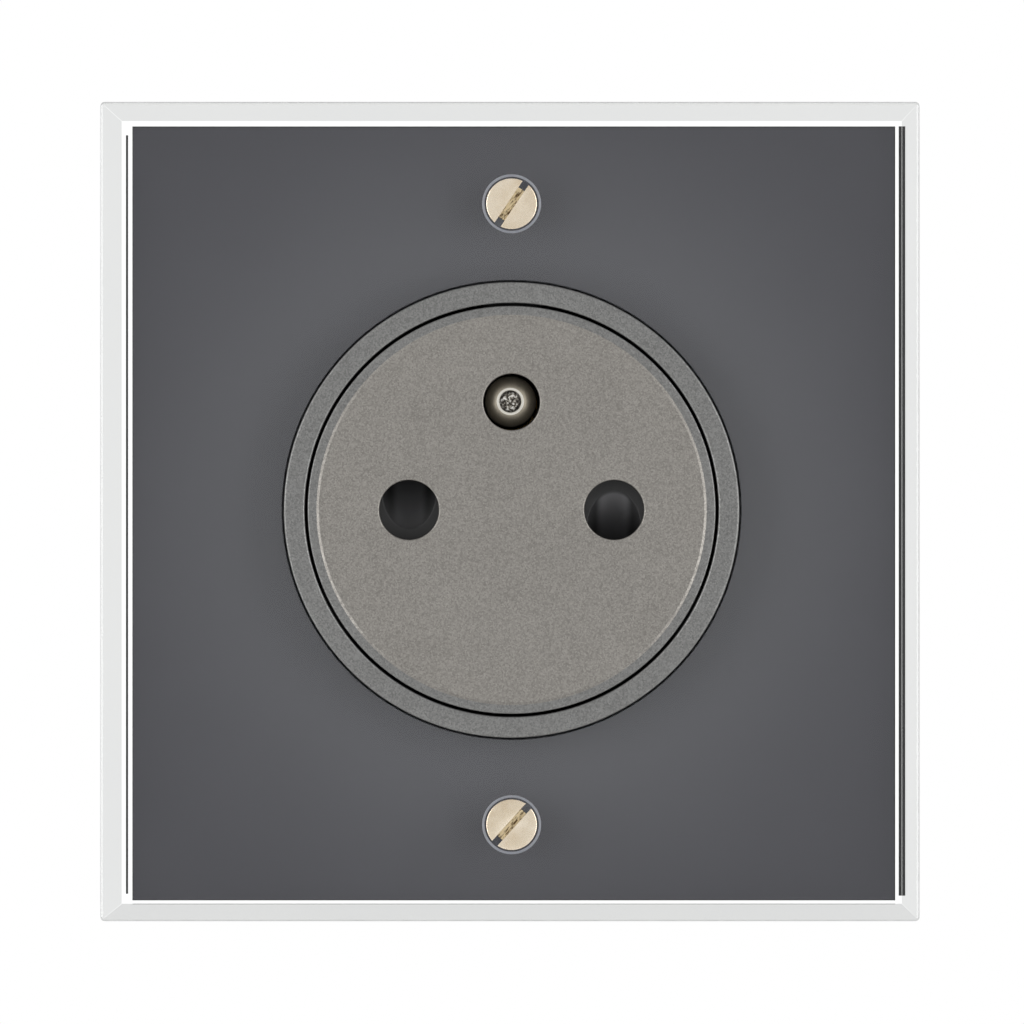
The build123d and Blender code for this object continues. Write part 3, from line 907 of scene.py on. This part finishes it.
def grow(piece: Object, tree: NodeTree, sizes: Mapping[str, Any]) -> None:
    """Runs a node tree on a piece and keeps the result as its plain mesh.

    Args:
        piece: The piece.
        tree: The tree.
        sizes: Values of the tree's named inputs.
    """
    step = piece.modifiers.new("grow", "NODES")
    step.node_group = tree
    for item in tree.interface.items_tree:
        if item.item_type == "SOCKET" and item.in_out == "INPUT" and item.name in sizes:
            step[item.identifier] = sizes[item.name]
    settle(piece)


def wound_wire(
    name: str, finish: Finish, radius: float, wire: float, turns: float, ends: Point
) -> Object:
    """Makes a round wire wound about the Y axis.

    Args:
        name: The piece's name.
        finish: The wire's finish.
        radius: The winding's mean radius in millimetres.
        wire: The wire's radius.
        turns: The number of turns.
        ends: Y of the wire's middle at the front and the back end.

    Returns:
        The piece.
    """
    made = placed(name, bpy.data.meshes.new(name))
    tree = bpy.data.node_groups.get("wound_wire") or coil_tree()
    sizes = {"Radius": radius * MM, "Wire": wire * MM, "Front": ends[0] * MM, "Back": ends[1] * MM}
    counts = {"Turns": turns, "Steps": WIRE_STEPS, "Sides": WIRE_SIDES}
    grow(made, tree, {**sizes, **counts, "Material": finish.material()})
    shade(made, WIRE_SMOOTH)
    return made


@dataclass
class CoverPlate:
    """The clear square plate with its mitred bevel, round opening and two countersunk holes.

    Its back reaches a hair into the panel, which is bonded to it.
    """

    side: float = 75.9
    shift: Point = (-0.15, -0.15)
    front: float = -6.5
    back: float = -2.99
    bevel: float = 2.0
    bevel_depth: float = 0.45
    flat_low: Point = (-36.1, -36.46)
    flat_high: Point = (36.13, 36.0)
    corner: float = 0.4
    corner_steps: int = 6
    flat_corner: float = 0.03
    corner_share: float = 0.2
    face_edge: float = 0.05
    side_edge: float = 0.2
    edge_steps: int = 3
    opening: float = 21.3
    hole: float = 1.5
    countersink: float = 2.73
    ground_lip: float = 2.5
    smooth: float = 25.0
    flat_area: float = 20.0
    steep_normal: float = 0.9
    level_normal: float = 0.999
    hole_heights: Point = SCREW_HEIGHTS

    def outline(self, inward: float, y: float) -> list[Vector]:
        """Gives the plate's rounded outline at one level.

        Args:
            inward: 0 at the plate's sides and 1 at its flat front.
            y: The level.

        Returns:
            The ring of points.
        """
        half = self.side / 2
        share = min(1.0, inward / self.corner_share)
        radius = self.corner + (self.flat_corner - self.corner) * share
        edges = []
        for sign, flat in ((-1, self.flat_low), (1, self.flat_high)):
            for middle, end in zip(self.shift, flat):
                edges.append(middle + sign * half + (end - middle - sign * half) * inward)
        left, bottom, right, top = edges
        ring = []
        corners = (
            (right, top, -1, -1),
            (left, top, 1, -1),
            (left, bottom, 1, 1),
            (right, bottom, -1, 1),
        )
        for quarter, (x0, z0, to_x, to_z) in enumerate(corners):
            for step in range(self.corner_steps + 1):
                x, z = polar(radius, 90 * quarter + 90 * step / self.corner_steps)
                ring.append(Vector((x0 + to_x * radius + x, y, z0 + to_z * radius + z)))
        return ring

    def build(self) -> None:
        """Makes the plate and dresses it."""
        half = self.side / 2
        share = self.corner_share
        corners = [
            (half, self.back, 0),
            (half, self.front + self.bevel_depth, self.side_edge),
            (half - self.bevel * share, self.front + self.bevel_depth * (1 - share), 0),
            (half - self.bevel, self.front, self.face_edge),
            (0, self.front, 0),
        ]
        section = fillet(corners, self.edge_steps)[:-1]
        rings = [self.outline((half - reach) / self.bevel, y) for reach, y in section]
        plate = Shape().loft(rings).piece("clear_cover_plate")
        before, beyond = self.front - OVERSHOOT, self.back + OVERSHOOT
        bore = [(0, before), (self.opening, before), (self.opening, beyond), (0, beyond)]
        tools = [Shape().lathe(bore, LARGE_TURNS).piece("bore")]
        cone = self.front + self.countersink
        sink = [
            (0, before),
            (self.countersink, before),
            (self.countersink, self.front),
            (self.ground_lip, cone - self.ground_lip),
            (self.hole, cone - self.hole),
            (self.hole, beyond),
            (0, beyond),
        ]
        for height in self.hole_heights:
            tools.append(Shape().lathe(sink, SMALL_TURNS, 0, height).piece("sink"))
        carve(plate, tools, self.smooth)
        finish_piece(plate, ACRYLIC, Body.BASE, "clear_acrylic", "cover_plate")
        self.grind(plate)

    def grind(self, plate: Object) -> None:
        """Gives the lips of the countersunk holes and the sawn sides their own skins.

        Args:
            plate: The plate.
        """
        for finish in (GROUND, SAWN):
            plate.data.materials.append(finish.material())
        for face in plate.data.polygons:
            x, _, z = face.center / MM
            reach = min(math.hypot(x, z - height) for height in self.hole_heights)
            normal = abs(face.normal.y)
            if normal < self.steep_normal and self.ground_lip < reach < self.countersink:
                face.material_index = 1
            if normal < self.steep_normal and max(abs(x), abs(z)) > self.flat_high[0]:
                face.material_index = 2
            face.use_smooth = face.area < self.flat_area * MM * MM and normal <= self.level_normal


@dataclass
class EdgeShadeStrips:
    """The thin dark strips on the plate's back beside the panel, and the bead round its edge:
    painted shade, standing for the dark lines along the panel's edges.
    """

    left: Point = (-35.79, -35.6)
    right: Point = (35.93, 36.2)
    left_span: Point = (-35.62, 34.77)
    right_span: Point = (-35.8, 35.6)
    panel_low: Point = (-35.12, -36.175)
    panel_high: Point = (35.48, 35.475)
    bead_low: Point = (-35.19, -36.235)
    bead_high: Point = (35.6, 35.585)
    front: float = -3.0
    back: float = -2.6
    rounding: float = 0.05
    edge_steps: int = 3

    def build(self) -> None:
        """Makes the strips and the bead as one piece and dresses it."""
        shape = Shape()
        for (low, high), span in ((self.left, self.left_span), (self.right, self.right_span)):
            corners = [
                (low, self.front, 0),
                (low, self.back, self.rounding),
                (high, self.back, self.rounding),
                (high, self.front, 0),
            ]
            shape.prism(fillet(corners, self.edge_steps), *span, Matrix.Identity(4))
        rings = []
        for low, high, y in (
            (self.bead_low, self.bead_high, self.front),
            (self.bead_low, self.bead_high, self.back),
            (self.panel_low, self.panel_high, self.back),
            (self.panel_low, self.panel_high, self.front),
        ):
            outline = rectangle(low[0], high[0], low[1], high[1])
            rings.append([Vector((x, y, z)) for x, z in outline])
        strips = shape.loft(rings, True).piece("plate_edge_shade_strips")
        finish_piece(strips, SHADE_BLACK, Body.BASE, "panel_plastic")


@dataclass
class PlateScrews:
    """The two slotted countersunk screws that hold the plate."""

    head_top: float = -6.46
    head_radius: float = 2.36
    head_edge: float = 0.25
    rounding: float = 0.1
    cone_rounding: float = 0.04
    edge_steps: int = 4
    slot_width: float = 0.68
    slot_depth: float = 0.95
    rim: float = 0.05
    rim_angle: float = 60.0
    core: float = 0.98
    neck_taper: float = 0.2
    tip_cut: float = 0.3
    thread: float = 1.2
    thread_pitch: float = 0.45
    thread_sink: float = 0.05
    thread_start: float = 0.15
    thread_stop: float = 0.35
    thread_short: float = 0.4
    tip: float = -0.3
    heights: Point = SCREW_HEIGHTS
    lower_angle: float = 48.0
    upper_angle: float = 56.0
    smooth: float = 35.0

    def build(self) -> None:
        """Makes one screw, stands it twice in the plate and dresses both."""
        cone_front = self.head_top + self.head_edge
        neck = cone_front + self.head_radius - self.thread
        corners = [
            (0, self.head_top, 0),
            (self.head_radius, self.head_top, self.rounding),
            (self.head_radius, cone_front, self.cone_rounding),
            (self.thread, neck, 0),
            (self.core, neck + self.neck_taper, 0),
            (self.core, self.tip - self.tip_cut, 0),
            (self.core - self.tip_cut, self.tip, 0),
            (0, self.tip, 0),
        ]
        profile = fillet(corners, self.edge_steps)
        screw = Shape().lathe(profile, SMALL_TURNS).piece("plate_screw_pair")
        reach = self.head_radius + OVERSHOOT
        slot = rectangle(-reach, reach, -self.slot_width / 2, self.slot_width / 2)
        floor, above = -self.head_top - self.slot_depth, -self.head_top + OVERSHOOT
        carve(screw, [Shape().prism(slot, floor, above, UPRIGHT).piece("slot")])
        rim = screw.modifiers.new("rim", "BEVEL")
        rim.width = self.rim * MM
        rim.segments = 2
        rim.limit_method = "ANGLE"
        rim.angle_limit = math.radians(self.rim_angle)
        settle(screw)
        shade(screw, self.smooth)
        wire = (self.thread - self.core) / 2 + self.thread_sink
        turns = (self.tip - self.thread_short - neck) / self.thread_pitch
        ends = (neck + self.thread_start, self.tip - self.thread_stop)
        thread = wound_wire("thread", SCREW, self.thread - wire, wire, turns, ends)
        merged = bmesh.new()
        for part in (screw, thread):
            merged.from_mesh(part.data)
        merged.to_mesh(screw.data)
        merged.free()
        bpy.data.objects.remove(thread)
        low, high = self.heights
        row = {"Count": 2, "Start": (0.0, 0.0, low * MM), "Step": (0.0, 0.0, (high - low) * MM)}
        turn = -math.radians(self.upper_angle - self.lower_angle)
        angles = {"First Angle": -math.radians(self.lower_angle), "Angle Step": turn}
        grow(screw, copies_tree(), {**row, **angles, "Material": SCREW.material()})
        finish_piece(screw, SCREW, Body.BASE, "screw_nickel", "plate_screws")


@dataclass
class TrimRing:
    """The metallic ring round the disc."""

    inner: float = 19.16
    outer: float = 21.1
    front: float = -6.8
    back: float = -5.3
    edge: float = 0.2
    edge_steps: int = 6

    def build(self) -> None:
        """Makes the ring and dresses it."""
        corners = [
            (self.inner, self.back, 0),
            (self.inner, self.front, self.edge),
            (self.outer, self.front, self.edge),
            (self.outer, self.back, 0),
        ]
        profile = fillet(corners, self.edge_steps)
        ring = Shape().lathe(profile, LARGE_TURNS).piece("lacquered_trim_ring")
        finish_piece(ring, RING, Body.BASE, "ring_lacquer", "trim_ring")


@dataclass
class FaceDisc:
    """The sprung disc with its raised rim and three pin holes, and what stands on its back."""

    radius: float = 18.9
    front: float = -6.7
    recess: float = 0.15
    back: float = -4.5
    edge: float = 0.15
    back_edge: float = 0.05
    edge_steps: int = 5
    rim: float = 0.84
    rim_slope: float = 0.22
    rim_rounding: float = 0.06
    smooth: float = 30.0
    pin_x: float = 9.5
    pin_hole: float = 2.765
    earth_z: float = 10.0
    earth_hole: float = 2.62
    hole_edge: float = 0.15
    hole_steps: int = 6
    tool_margin: float = 0.4
    tool_lift: float = 0.001
    root: float = 0.3
    leg_angles: Triple = (90.0, 210.0, 330.0)
    leg_reach: float = 19.6
    leg_inner: float = 17.6
    leg_width: float = 5.0
    leg_steps: int = 6
    leg_front: float = -5.1
    leg_back: float = 0.9
    axle: float = 2.2
    retainer_front: float = 1.3
    hook_angles: Point = (136.0, 316.0)
    hook_inner: float = 12.6
    hook_thickness: float = 1.1
    hook_width: float = 3.2
    hook_catch: float = 0.5
    catch_y: float = 2.8
    hook_tip: float = 3.7
    post_radius: float = 12.0
    post_angle: float = 290.0
    post_side: float = 3.2
    post_slot: float = 0.5

    def hole_tool(self, radius: float, x: float, z: float) -> Object:
        """Makes the tool for a pin hole with a rounded mouth.

        Args:
            radius: The hole's radius.
            x: Its place.
            z: Its place.

        Returns:
            The tool.
        """
        face = self.front + self.recess
        mouth = radius + self.hole_edge
        wide = mouth + self.tool_margin
        profile = [(0.0, face - OVERSHOOT), (wide, face - OVERSHOOT), (wide, face - self.tool_lift)]
        for step in range(self.hole_steps + 1):
            angle = math.pi / 2 * step / self.hole_steps
            depth = self.hole_edge * (1 - math.cos(angle))
            profile.append((mouth - self.hole_edge * math.sin(angle), face + depth))
        profile += [(radius, self.back + OVERSHOOT), (0.0, self.back + OVERSHOOT)]
        return Shape().lathe(profile, SMALL_TURNS, x, z).piece("hole")

    def back_parts(self) -> Shape:
        """Makes the legs, axle, snap hooks and spring post that stand on the disc's back.

        Returns:
            The shape with all of them.
        """
        shape = Shape()
        sunk = self.back - self.root
        half = self.leg_width / 2
        spread = math.degrees(math.asin(half / self.leg_reach))
        leg = [(self.leg_inner, -half), (self.leg_inner, half)]
        for k in range(self.leg_steps + 1):
            leg.append(polar(self.leg_reach, spread - spread * 2 * k / self.leg_steps))
        for angle in self.leg_angles:
            shape.prism(leg, -self.leg_back, -self.leg_front, about_y(angle) @ UPRIGHT)
        end = self.retainer_front
        shape.lathe([(0, sunk), (self.axle, sunk), (self.axle, end), (0, end)], THIN_TURNS)
        outer = self.hook_inner + self.hook_thickness
        hook = [
            (self.hook_inner, sunk),
            (outer, sunk),
            (outer, self.catch_y),
            (outer + self.hook_catch, self.catch_y),
            (outer, self.hook_tip),
            (self.hook_inner, self.hook_tip),
        ]
        for angle in self.hook_angles:
            shape.prism(hook, -self.hook_width / 2, self.hook_width / 2, about_y(angle))
        x, z = polar(self.post_radius, self.post_angle)
        wide = self.post_side / 2
        gap = self.post_slot / 2
        for low, high in ((-wide, -gap), (gap, wide)):
            bar = rectangle(x - wide, x + wide, z + low, z + high)
            shape.prism(bar, -end, -sunk, UPRIGHT)
        return shape

    def build(self) -> None:
        """Makes the disc and dresses it."""
        face = self.front + self.recess
        rim_inner = self.radius - self.rim
        corners = [
            (0, face, 0),
            (rim_inner - self.rim_slope, face, self.rim_rounding),
            (rim_inner, self.front, self.rim_rounding),
            (self.radius, self.front, self.edge),
            (self.radius, self.back, self.back_edge),
            (0, self.back, 0),
        ]
        profile = fillet(corners, self.edge_steps)
        disc = Shape().lathe(profile, LARGE_TURNS).piece("lacquered_face_disc")
        holes = [
            self.hole_tool(self.pin_hole, -self.pin_x, 0),
            self.hole_tool(self.pin_hole, self.pin_x, 0),
            self.hole_tool(self.earth_hole, 0, self.earth_z),
        ]
        carve(disc, holes, self.smooth)
        rear = self.back_parts().piece("moulded_disc_back", self.smooth)
        # The near-black back parts make the gap round the disc read as painted shade
        finish_piece(rear, BACK, Body.FACE, "inner_plastic", "face_disc")
        finish_piece(disc, FACE, Body.FACE, "face_plastic", "face_disc")
        disc.data.materials.append(RING.material())
        for side in disc.data.polygons:
            if math.hypot(side.center.x, side.center.z) > rim_inner * MM:
                side.material_index = 1


@dataclass
class EarthPin:
    """The earth pin, with a rounded end and a dimple at its tip."""

    axis: Point = EARTH_AXIS
    tip: float = -6.0
    radius: float = 2.4
    tip_radius: float = 1.2
    dome: float = 1.9
    slope_depth: float = 1.25
    slope_power: float = 1.6
    slope_end: float = 0.94
    slope_steps: int = 14
    dimple: float = 1.0
    dimple_floor: float = 0.84
    dimple_depth: float = 0.3
    dimple_rings: int = 9
    floor_margin: float = 0.001
    lip: float = 0.06
    lip_depth: float = 0.05
    lip_rise: float = 0.01
    grain: float = 0.22
    grain_height: float = 0.12
    shoulder: float = 19.7
    neck: float = 1.6
    end: float = 20.7
    end_cut: float = 0.15
    smooth: float = 36.0

    def build(self) -> None:
        """Makes the pin and dresses it."""
        floor = self.tip + self.dimple_depth
        rings = self.dimple_rings
        profile = [(self.dimple_floor * k / rings, floor) for k in range(rings + 1)]
        profile += [(self.dimple, self.tip + self.lip_depth), (self.dimple + self.lip, self.tip)]
        for k in range(self.slope_steps + 1):
            share = self.slope_end * k / self.slope_steps
            reach = self.tip_radius + (self.radius - self.tip_radius) * share
            depth = self.slope_depth * share**self.slope_power
            profile.append((reach, self.tip + self.lip_rise + depth))
        profile += [
            (self.radius, self.tip + self.dome),
            (self.radius, self.shoulder),
            (self.neck, self.shoulder),
            (self.neck, self.end - self.end_cut),
            (self.neck - self.end_cut, self.end),
            (0.0, self.end),
        ]
        pin = Shape().lathe(profile, SMALL_TURNS, *self.axis).piece("turned_earth_pin", self.smooth)
        for point in pin.data.vertices:
            if abs(point.co.y / MM - floor) < self.floor_margin:
                point.co.y += self.grain_height * MM * noise.noise(point.co / (self.grain * MM))
        finish_piece(pin, PIN, Body.BASE, "nickel_brass", "earth_pin")


@dataclass
class ShutterGroup:
    """The rotary shutter, its leaf spring and the retainer behind it."""

    edge: float = 0.1
    edge_segments: int = 3
    edge_angle: float = 25.0
    leaf_edge: float = 0.05
    leaf_start: Point = (12.0, 290.0)
    leaf_end: Point = (10.5, 206.0)

    def build(self) -> None:
        """Makes the three pieces and dresses them."""
        shutter = softened("shutter", self.edge, self.edge_segments, self.edge_angle)
        finish_piece(shutter, SHUTTER, Body.SHUTTER, "shutter_plastic", "shutter")
        retainer = softened("shutter_retainer", self.edge)
        finish_piece(retainer, INNER, Body.FACE, "inner_plastic", "shutter_retainer")
        leaf = softened("shutter_spring", self.leaf_edge)
        finish_piece(leaf, SPRING_STEEL, None, "spring_steel", "shutter_spring")
        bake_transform(leaf)


@dataclass
class ReturnSpring:
    """The coil that pushes the disc forward."""

    radius: float = 16.65
    wire: float = 0.43
    turns: float = 3.0
    front: float = -3.9
    back: float = 17.5
    seat: float = 17.95
    travel: float = 14.0

    def build(self) -> None:
        """Makes the coil and dresses it."""
        sizes = (self.radius, self.wire, self.turns, (self.front, self.back))
        coil = wound_wire("wound_return_spring", SPRING_STEEL, *sizes)
        finish_piece(coil, SPRING_STEEL, Body.BASE, "spring_steel", "return_spring")
        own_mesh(coil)


@dataclass
class RearParts:
    """What stands behind the panel: the frame, clips, well, contact base, contacts and cover."""

    cast_edge: float = 0.18
    moulded_edge: float = 0.2
    strip_edge: float = 0.06

    def build(self) -> None:
        """Rounds the edges of each rear piece and dresses it."""
        rows = (
            ("support_frame", self.cast_edge, ZINC, "zinc_steel"),
            ("frame_clips", self.strip_edge, CLIP_STEEL, "zinc_steel"),
            ("well_tube", self.moulded_edge, INNER, "inner_plastic"),
            ("contact_base", self.moulded_edge, HOUSING, "housing_plastic"),
            ("rear_cover", self.moulded_edge, HOUSING, "housing_plastic"),
            ("earth_strap", self.strip_edge, BRASS, "contact_brass"),
            ("line_contact", self.strip_edge, BRASS, "contact_brass"),
            ("neutral_contact", self.strip_edge, BRASS, "contact_brass"),
            ("contact_springs", self.strip_edge, SPRING_STEEL, "spring_steel"),
            ("terminal_springs", self.strip_edge, SPRING_STEEL, "spring_steel"),
        )
        for node, edge, finish, slot in rows:
            finish_piece(softened(node, edge), finish, Body.BASE, slot, node)


@dataclass
class BackingPanel:
    """The dark sheet behind the clear plate, which stays as the CAD made it."""

    node: str = "backing_panel"

    def build(self) -> None:
        """Dresses the sheet."""
        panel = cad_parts[self.node]
        panel.data.materials.clear()
        panel.data.materials.append(PANEL.material())
        LOG.info("%s: %s", panel.name, PANEL.name)


@dataclass
class Studio:
    """The floor, the soft lights and the camera."""

    picture: float = 1024.0
    pixels_per_mm: float = 10.8
    origin_pixel: Point = (511.6, 509.9)
    plane: float = -6.5
    lens: float = 400.0
    sensor: float = 36.0
    clip: Point = (0.01, 20.0)
    floor_height: float = -250.0
    floor_side: float = 6000.0
    floor_thickness: float = 5.0
    soft_box: Point = (500.0, 700.0)
    soft_box_place: Triple = (620.0, -420.0, 60.0)
    soft_box_power: float = 3.5
    white: str = "FFFFFF"
    ambient: float = 0.85
    side_light: float = 0.2
    backlight: float = 0.3
    backlight_edge: Point = (0.9976, 0.9984)
    dim: float = 0.08
    dim_edge: Point = (0.03, 0.08)
    dim_reach: Point = (0.97, 0.98)

    def build(self) -> None:
        """Makes the stage and sets the colour management."""
        self.camera()
        self.floor()
        self.lights()
        self.world()
        view = bpy.context.scene.view_settings
        view.view_transform = "Standard"
        view.look = "None"

    def camera(self) -> None:
        """Puts a long lens in front of the socket, as far off as the picture's scale asks."""
        width = self.picture / self.pixels_per_mm
        distance = width * self.lens / self.sensor
        x = (self.picture / 2 - self.origin_pixel[0]) / self.pixels_per_mm
        z = (self.origin_pixel[1] - self.picture / 2) / self.pixels_per_mm
        data = bpy.data.cameras.new("camera")
        data.lens = self.lens
        data.sensor_width = self.sensor
        data.clip_start, data.clip_end = self.clip
        camera = placed("camera", data)
        camera.location = (x * MM, (self.plane - distance) * MM, z * MM)
        camera.rotation_euler = (math.pi / 2, 0, 0)
        bpy.context.scene.camera = camera

    def floor(self) -> None:
        """Lays a pale floor well below the socket, open to a view from underneath."""
        half = self.floor_side / 2
        low = self.floor_height - self.floor_thickness
        slab = rectangle(-half, half, -half, half)
        card = Shape().prism(slab, low, self.floor_height, Matrix.Identity(4)).piece("card_floor")
        card.data.materials.append(CARD.material())

    def lights(self) -> None:
        """Stands a soft box on either side."""
        x, y, z = self.soft_box_place
        for side in (-1, 1):
            data = bpy.data.lights.new("soft_box", "AREA")
            data.shape = "RECTANGLE"
            data.size = self.soft_box[0] * MM
            data.size_y = self.soft_box[1] * MM
            data.energy = self.soft_box_power
            lamp = placed("soft_box", data)
            lamp.location = (side * x * MM, y * MM, z * MM)
            lamp.rotation_euler = Vector(-lamp.location).to_track_quat("-Z", "Y").to_euler()

    def world(self) -> None:
        """Fills the room with soft light on white.

        It is brighter at the sides and straight behind, and a little dimmer just above that.
        """
        world = bpy.data.worlds.new("white_room")
        bpy.context.scene.world = world
        world.use_nodes = True
        world.node_tree.nodes.clear()
        add = partial(add_node, world.node_tree)
        way = add("TexCoord").outputs["Generated"]
        parts = add("SeparateXYZ", {0: way}).outputs
        side = add("Math", {0: parts["X"]}, operation="ABSOLUTE")
        room = add("Math", {0: side, 1: self.side_light, 2: self.ambient}, operation="MULTIPLY_ADD")
        ramps = []
        for axis, (start, end), most in (
            ("Z", self.dim_edge, -self.dim),
            ("Y", self.dim_reach, 1.0),
            ("Y", self.backlight_edge, self.backlight),
        ):
            span = {"Value": parts[axis], "From Min": start, "From Max": end, "To Max": most}
            ramps.append(add("MapRange", span))
        above, near, behind = ramps
        dimmed = add("Math", {0: above, 1: near, 2: behind}, operation="MULTIPLY_ADD")
        level = add("Math", {0: room, 1: dimmed}, operation="ADD")
        lit = add("Background", {0: linear(self.white), 1: level})
        seen = add("Background", {0: linear(self.white), 1: 1.0})
        camera_ray = add("LightPath").outputs["Is Camera Ray"]
        both = add("MixShader", {0: camera_ray, 1: lit, 2: seen})
        add("OutputWorld", {0: both})


def main() -> None:
    """Builds each sub-assembly in order, then the studio."""
    logging.basicConfig(level=logging.INFO, format="%(name)s %(message)s")
    for maker in (
        BackingPanel(),
        CoverPlate(),
        EdgeShadeStrips(),
        PlateScrews(),
        TrimRing(),
        FaceDisc(),
        EarthPin(),
        ShutterGroup(),
        ReturnSpring(),
        RearParts(),
    ):
        maker.build()
        LOG.info("built %s", type(maker).__name__)
    Studio().build()


if __name__ == "__main__":
    main()
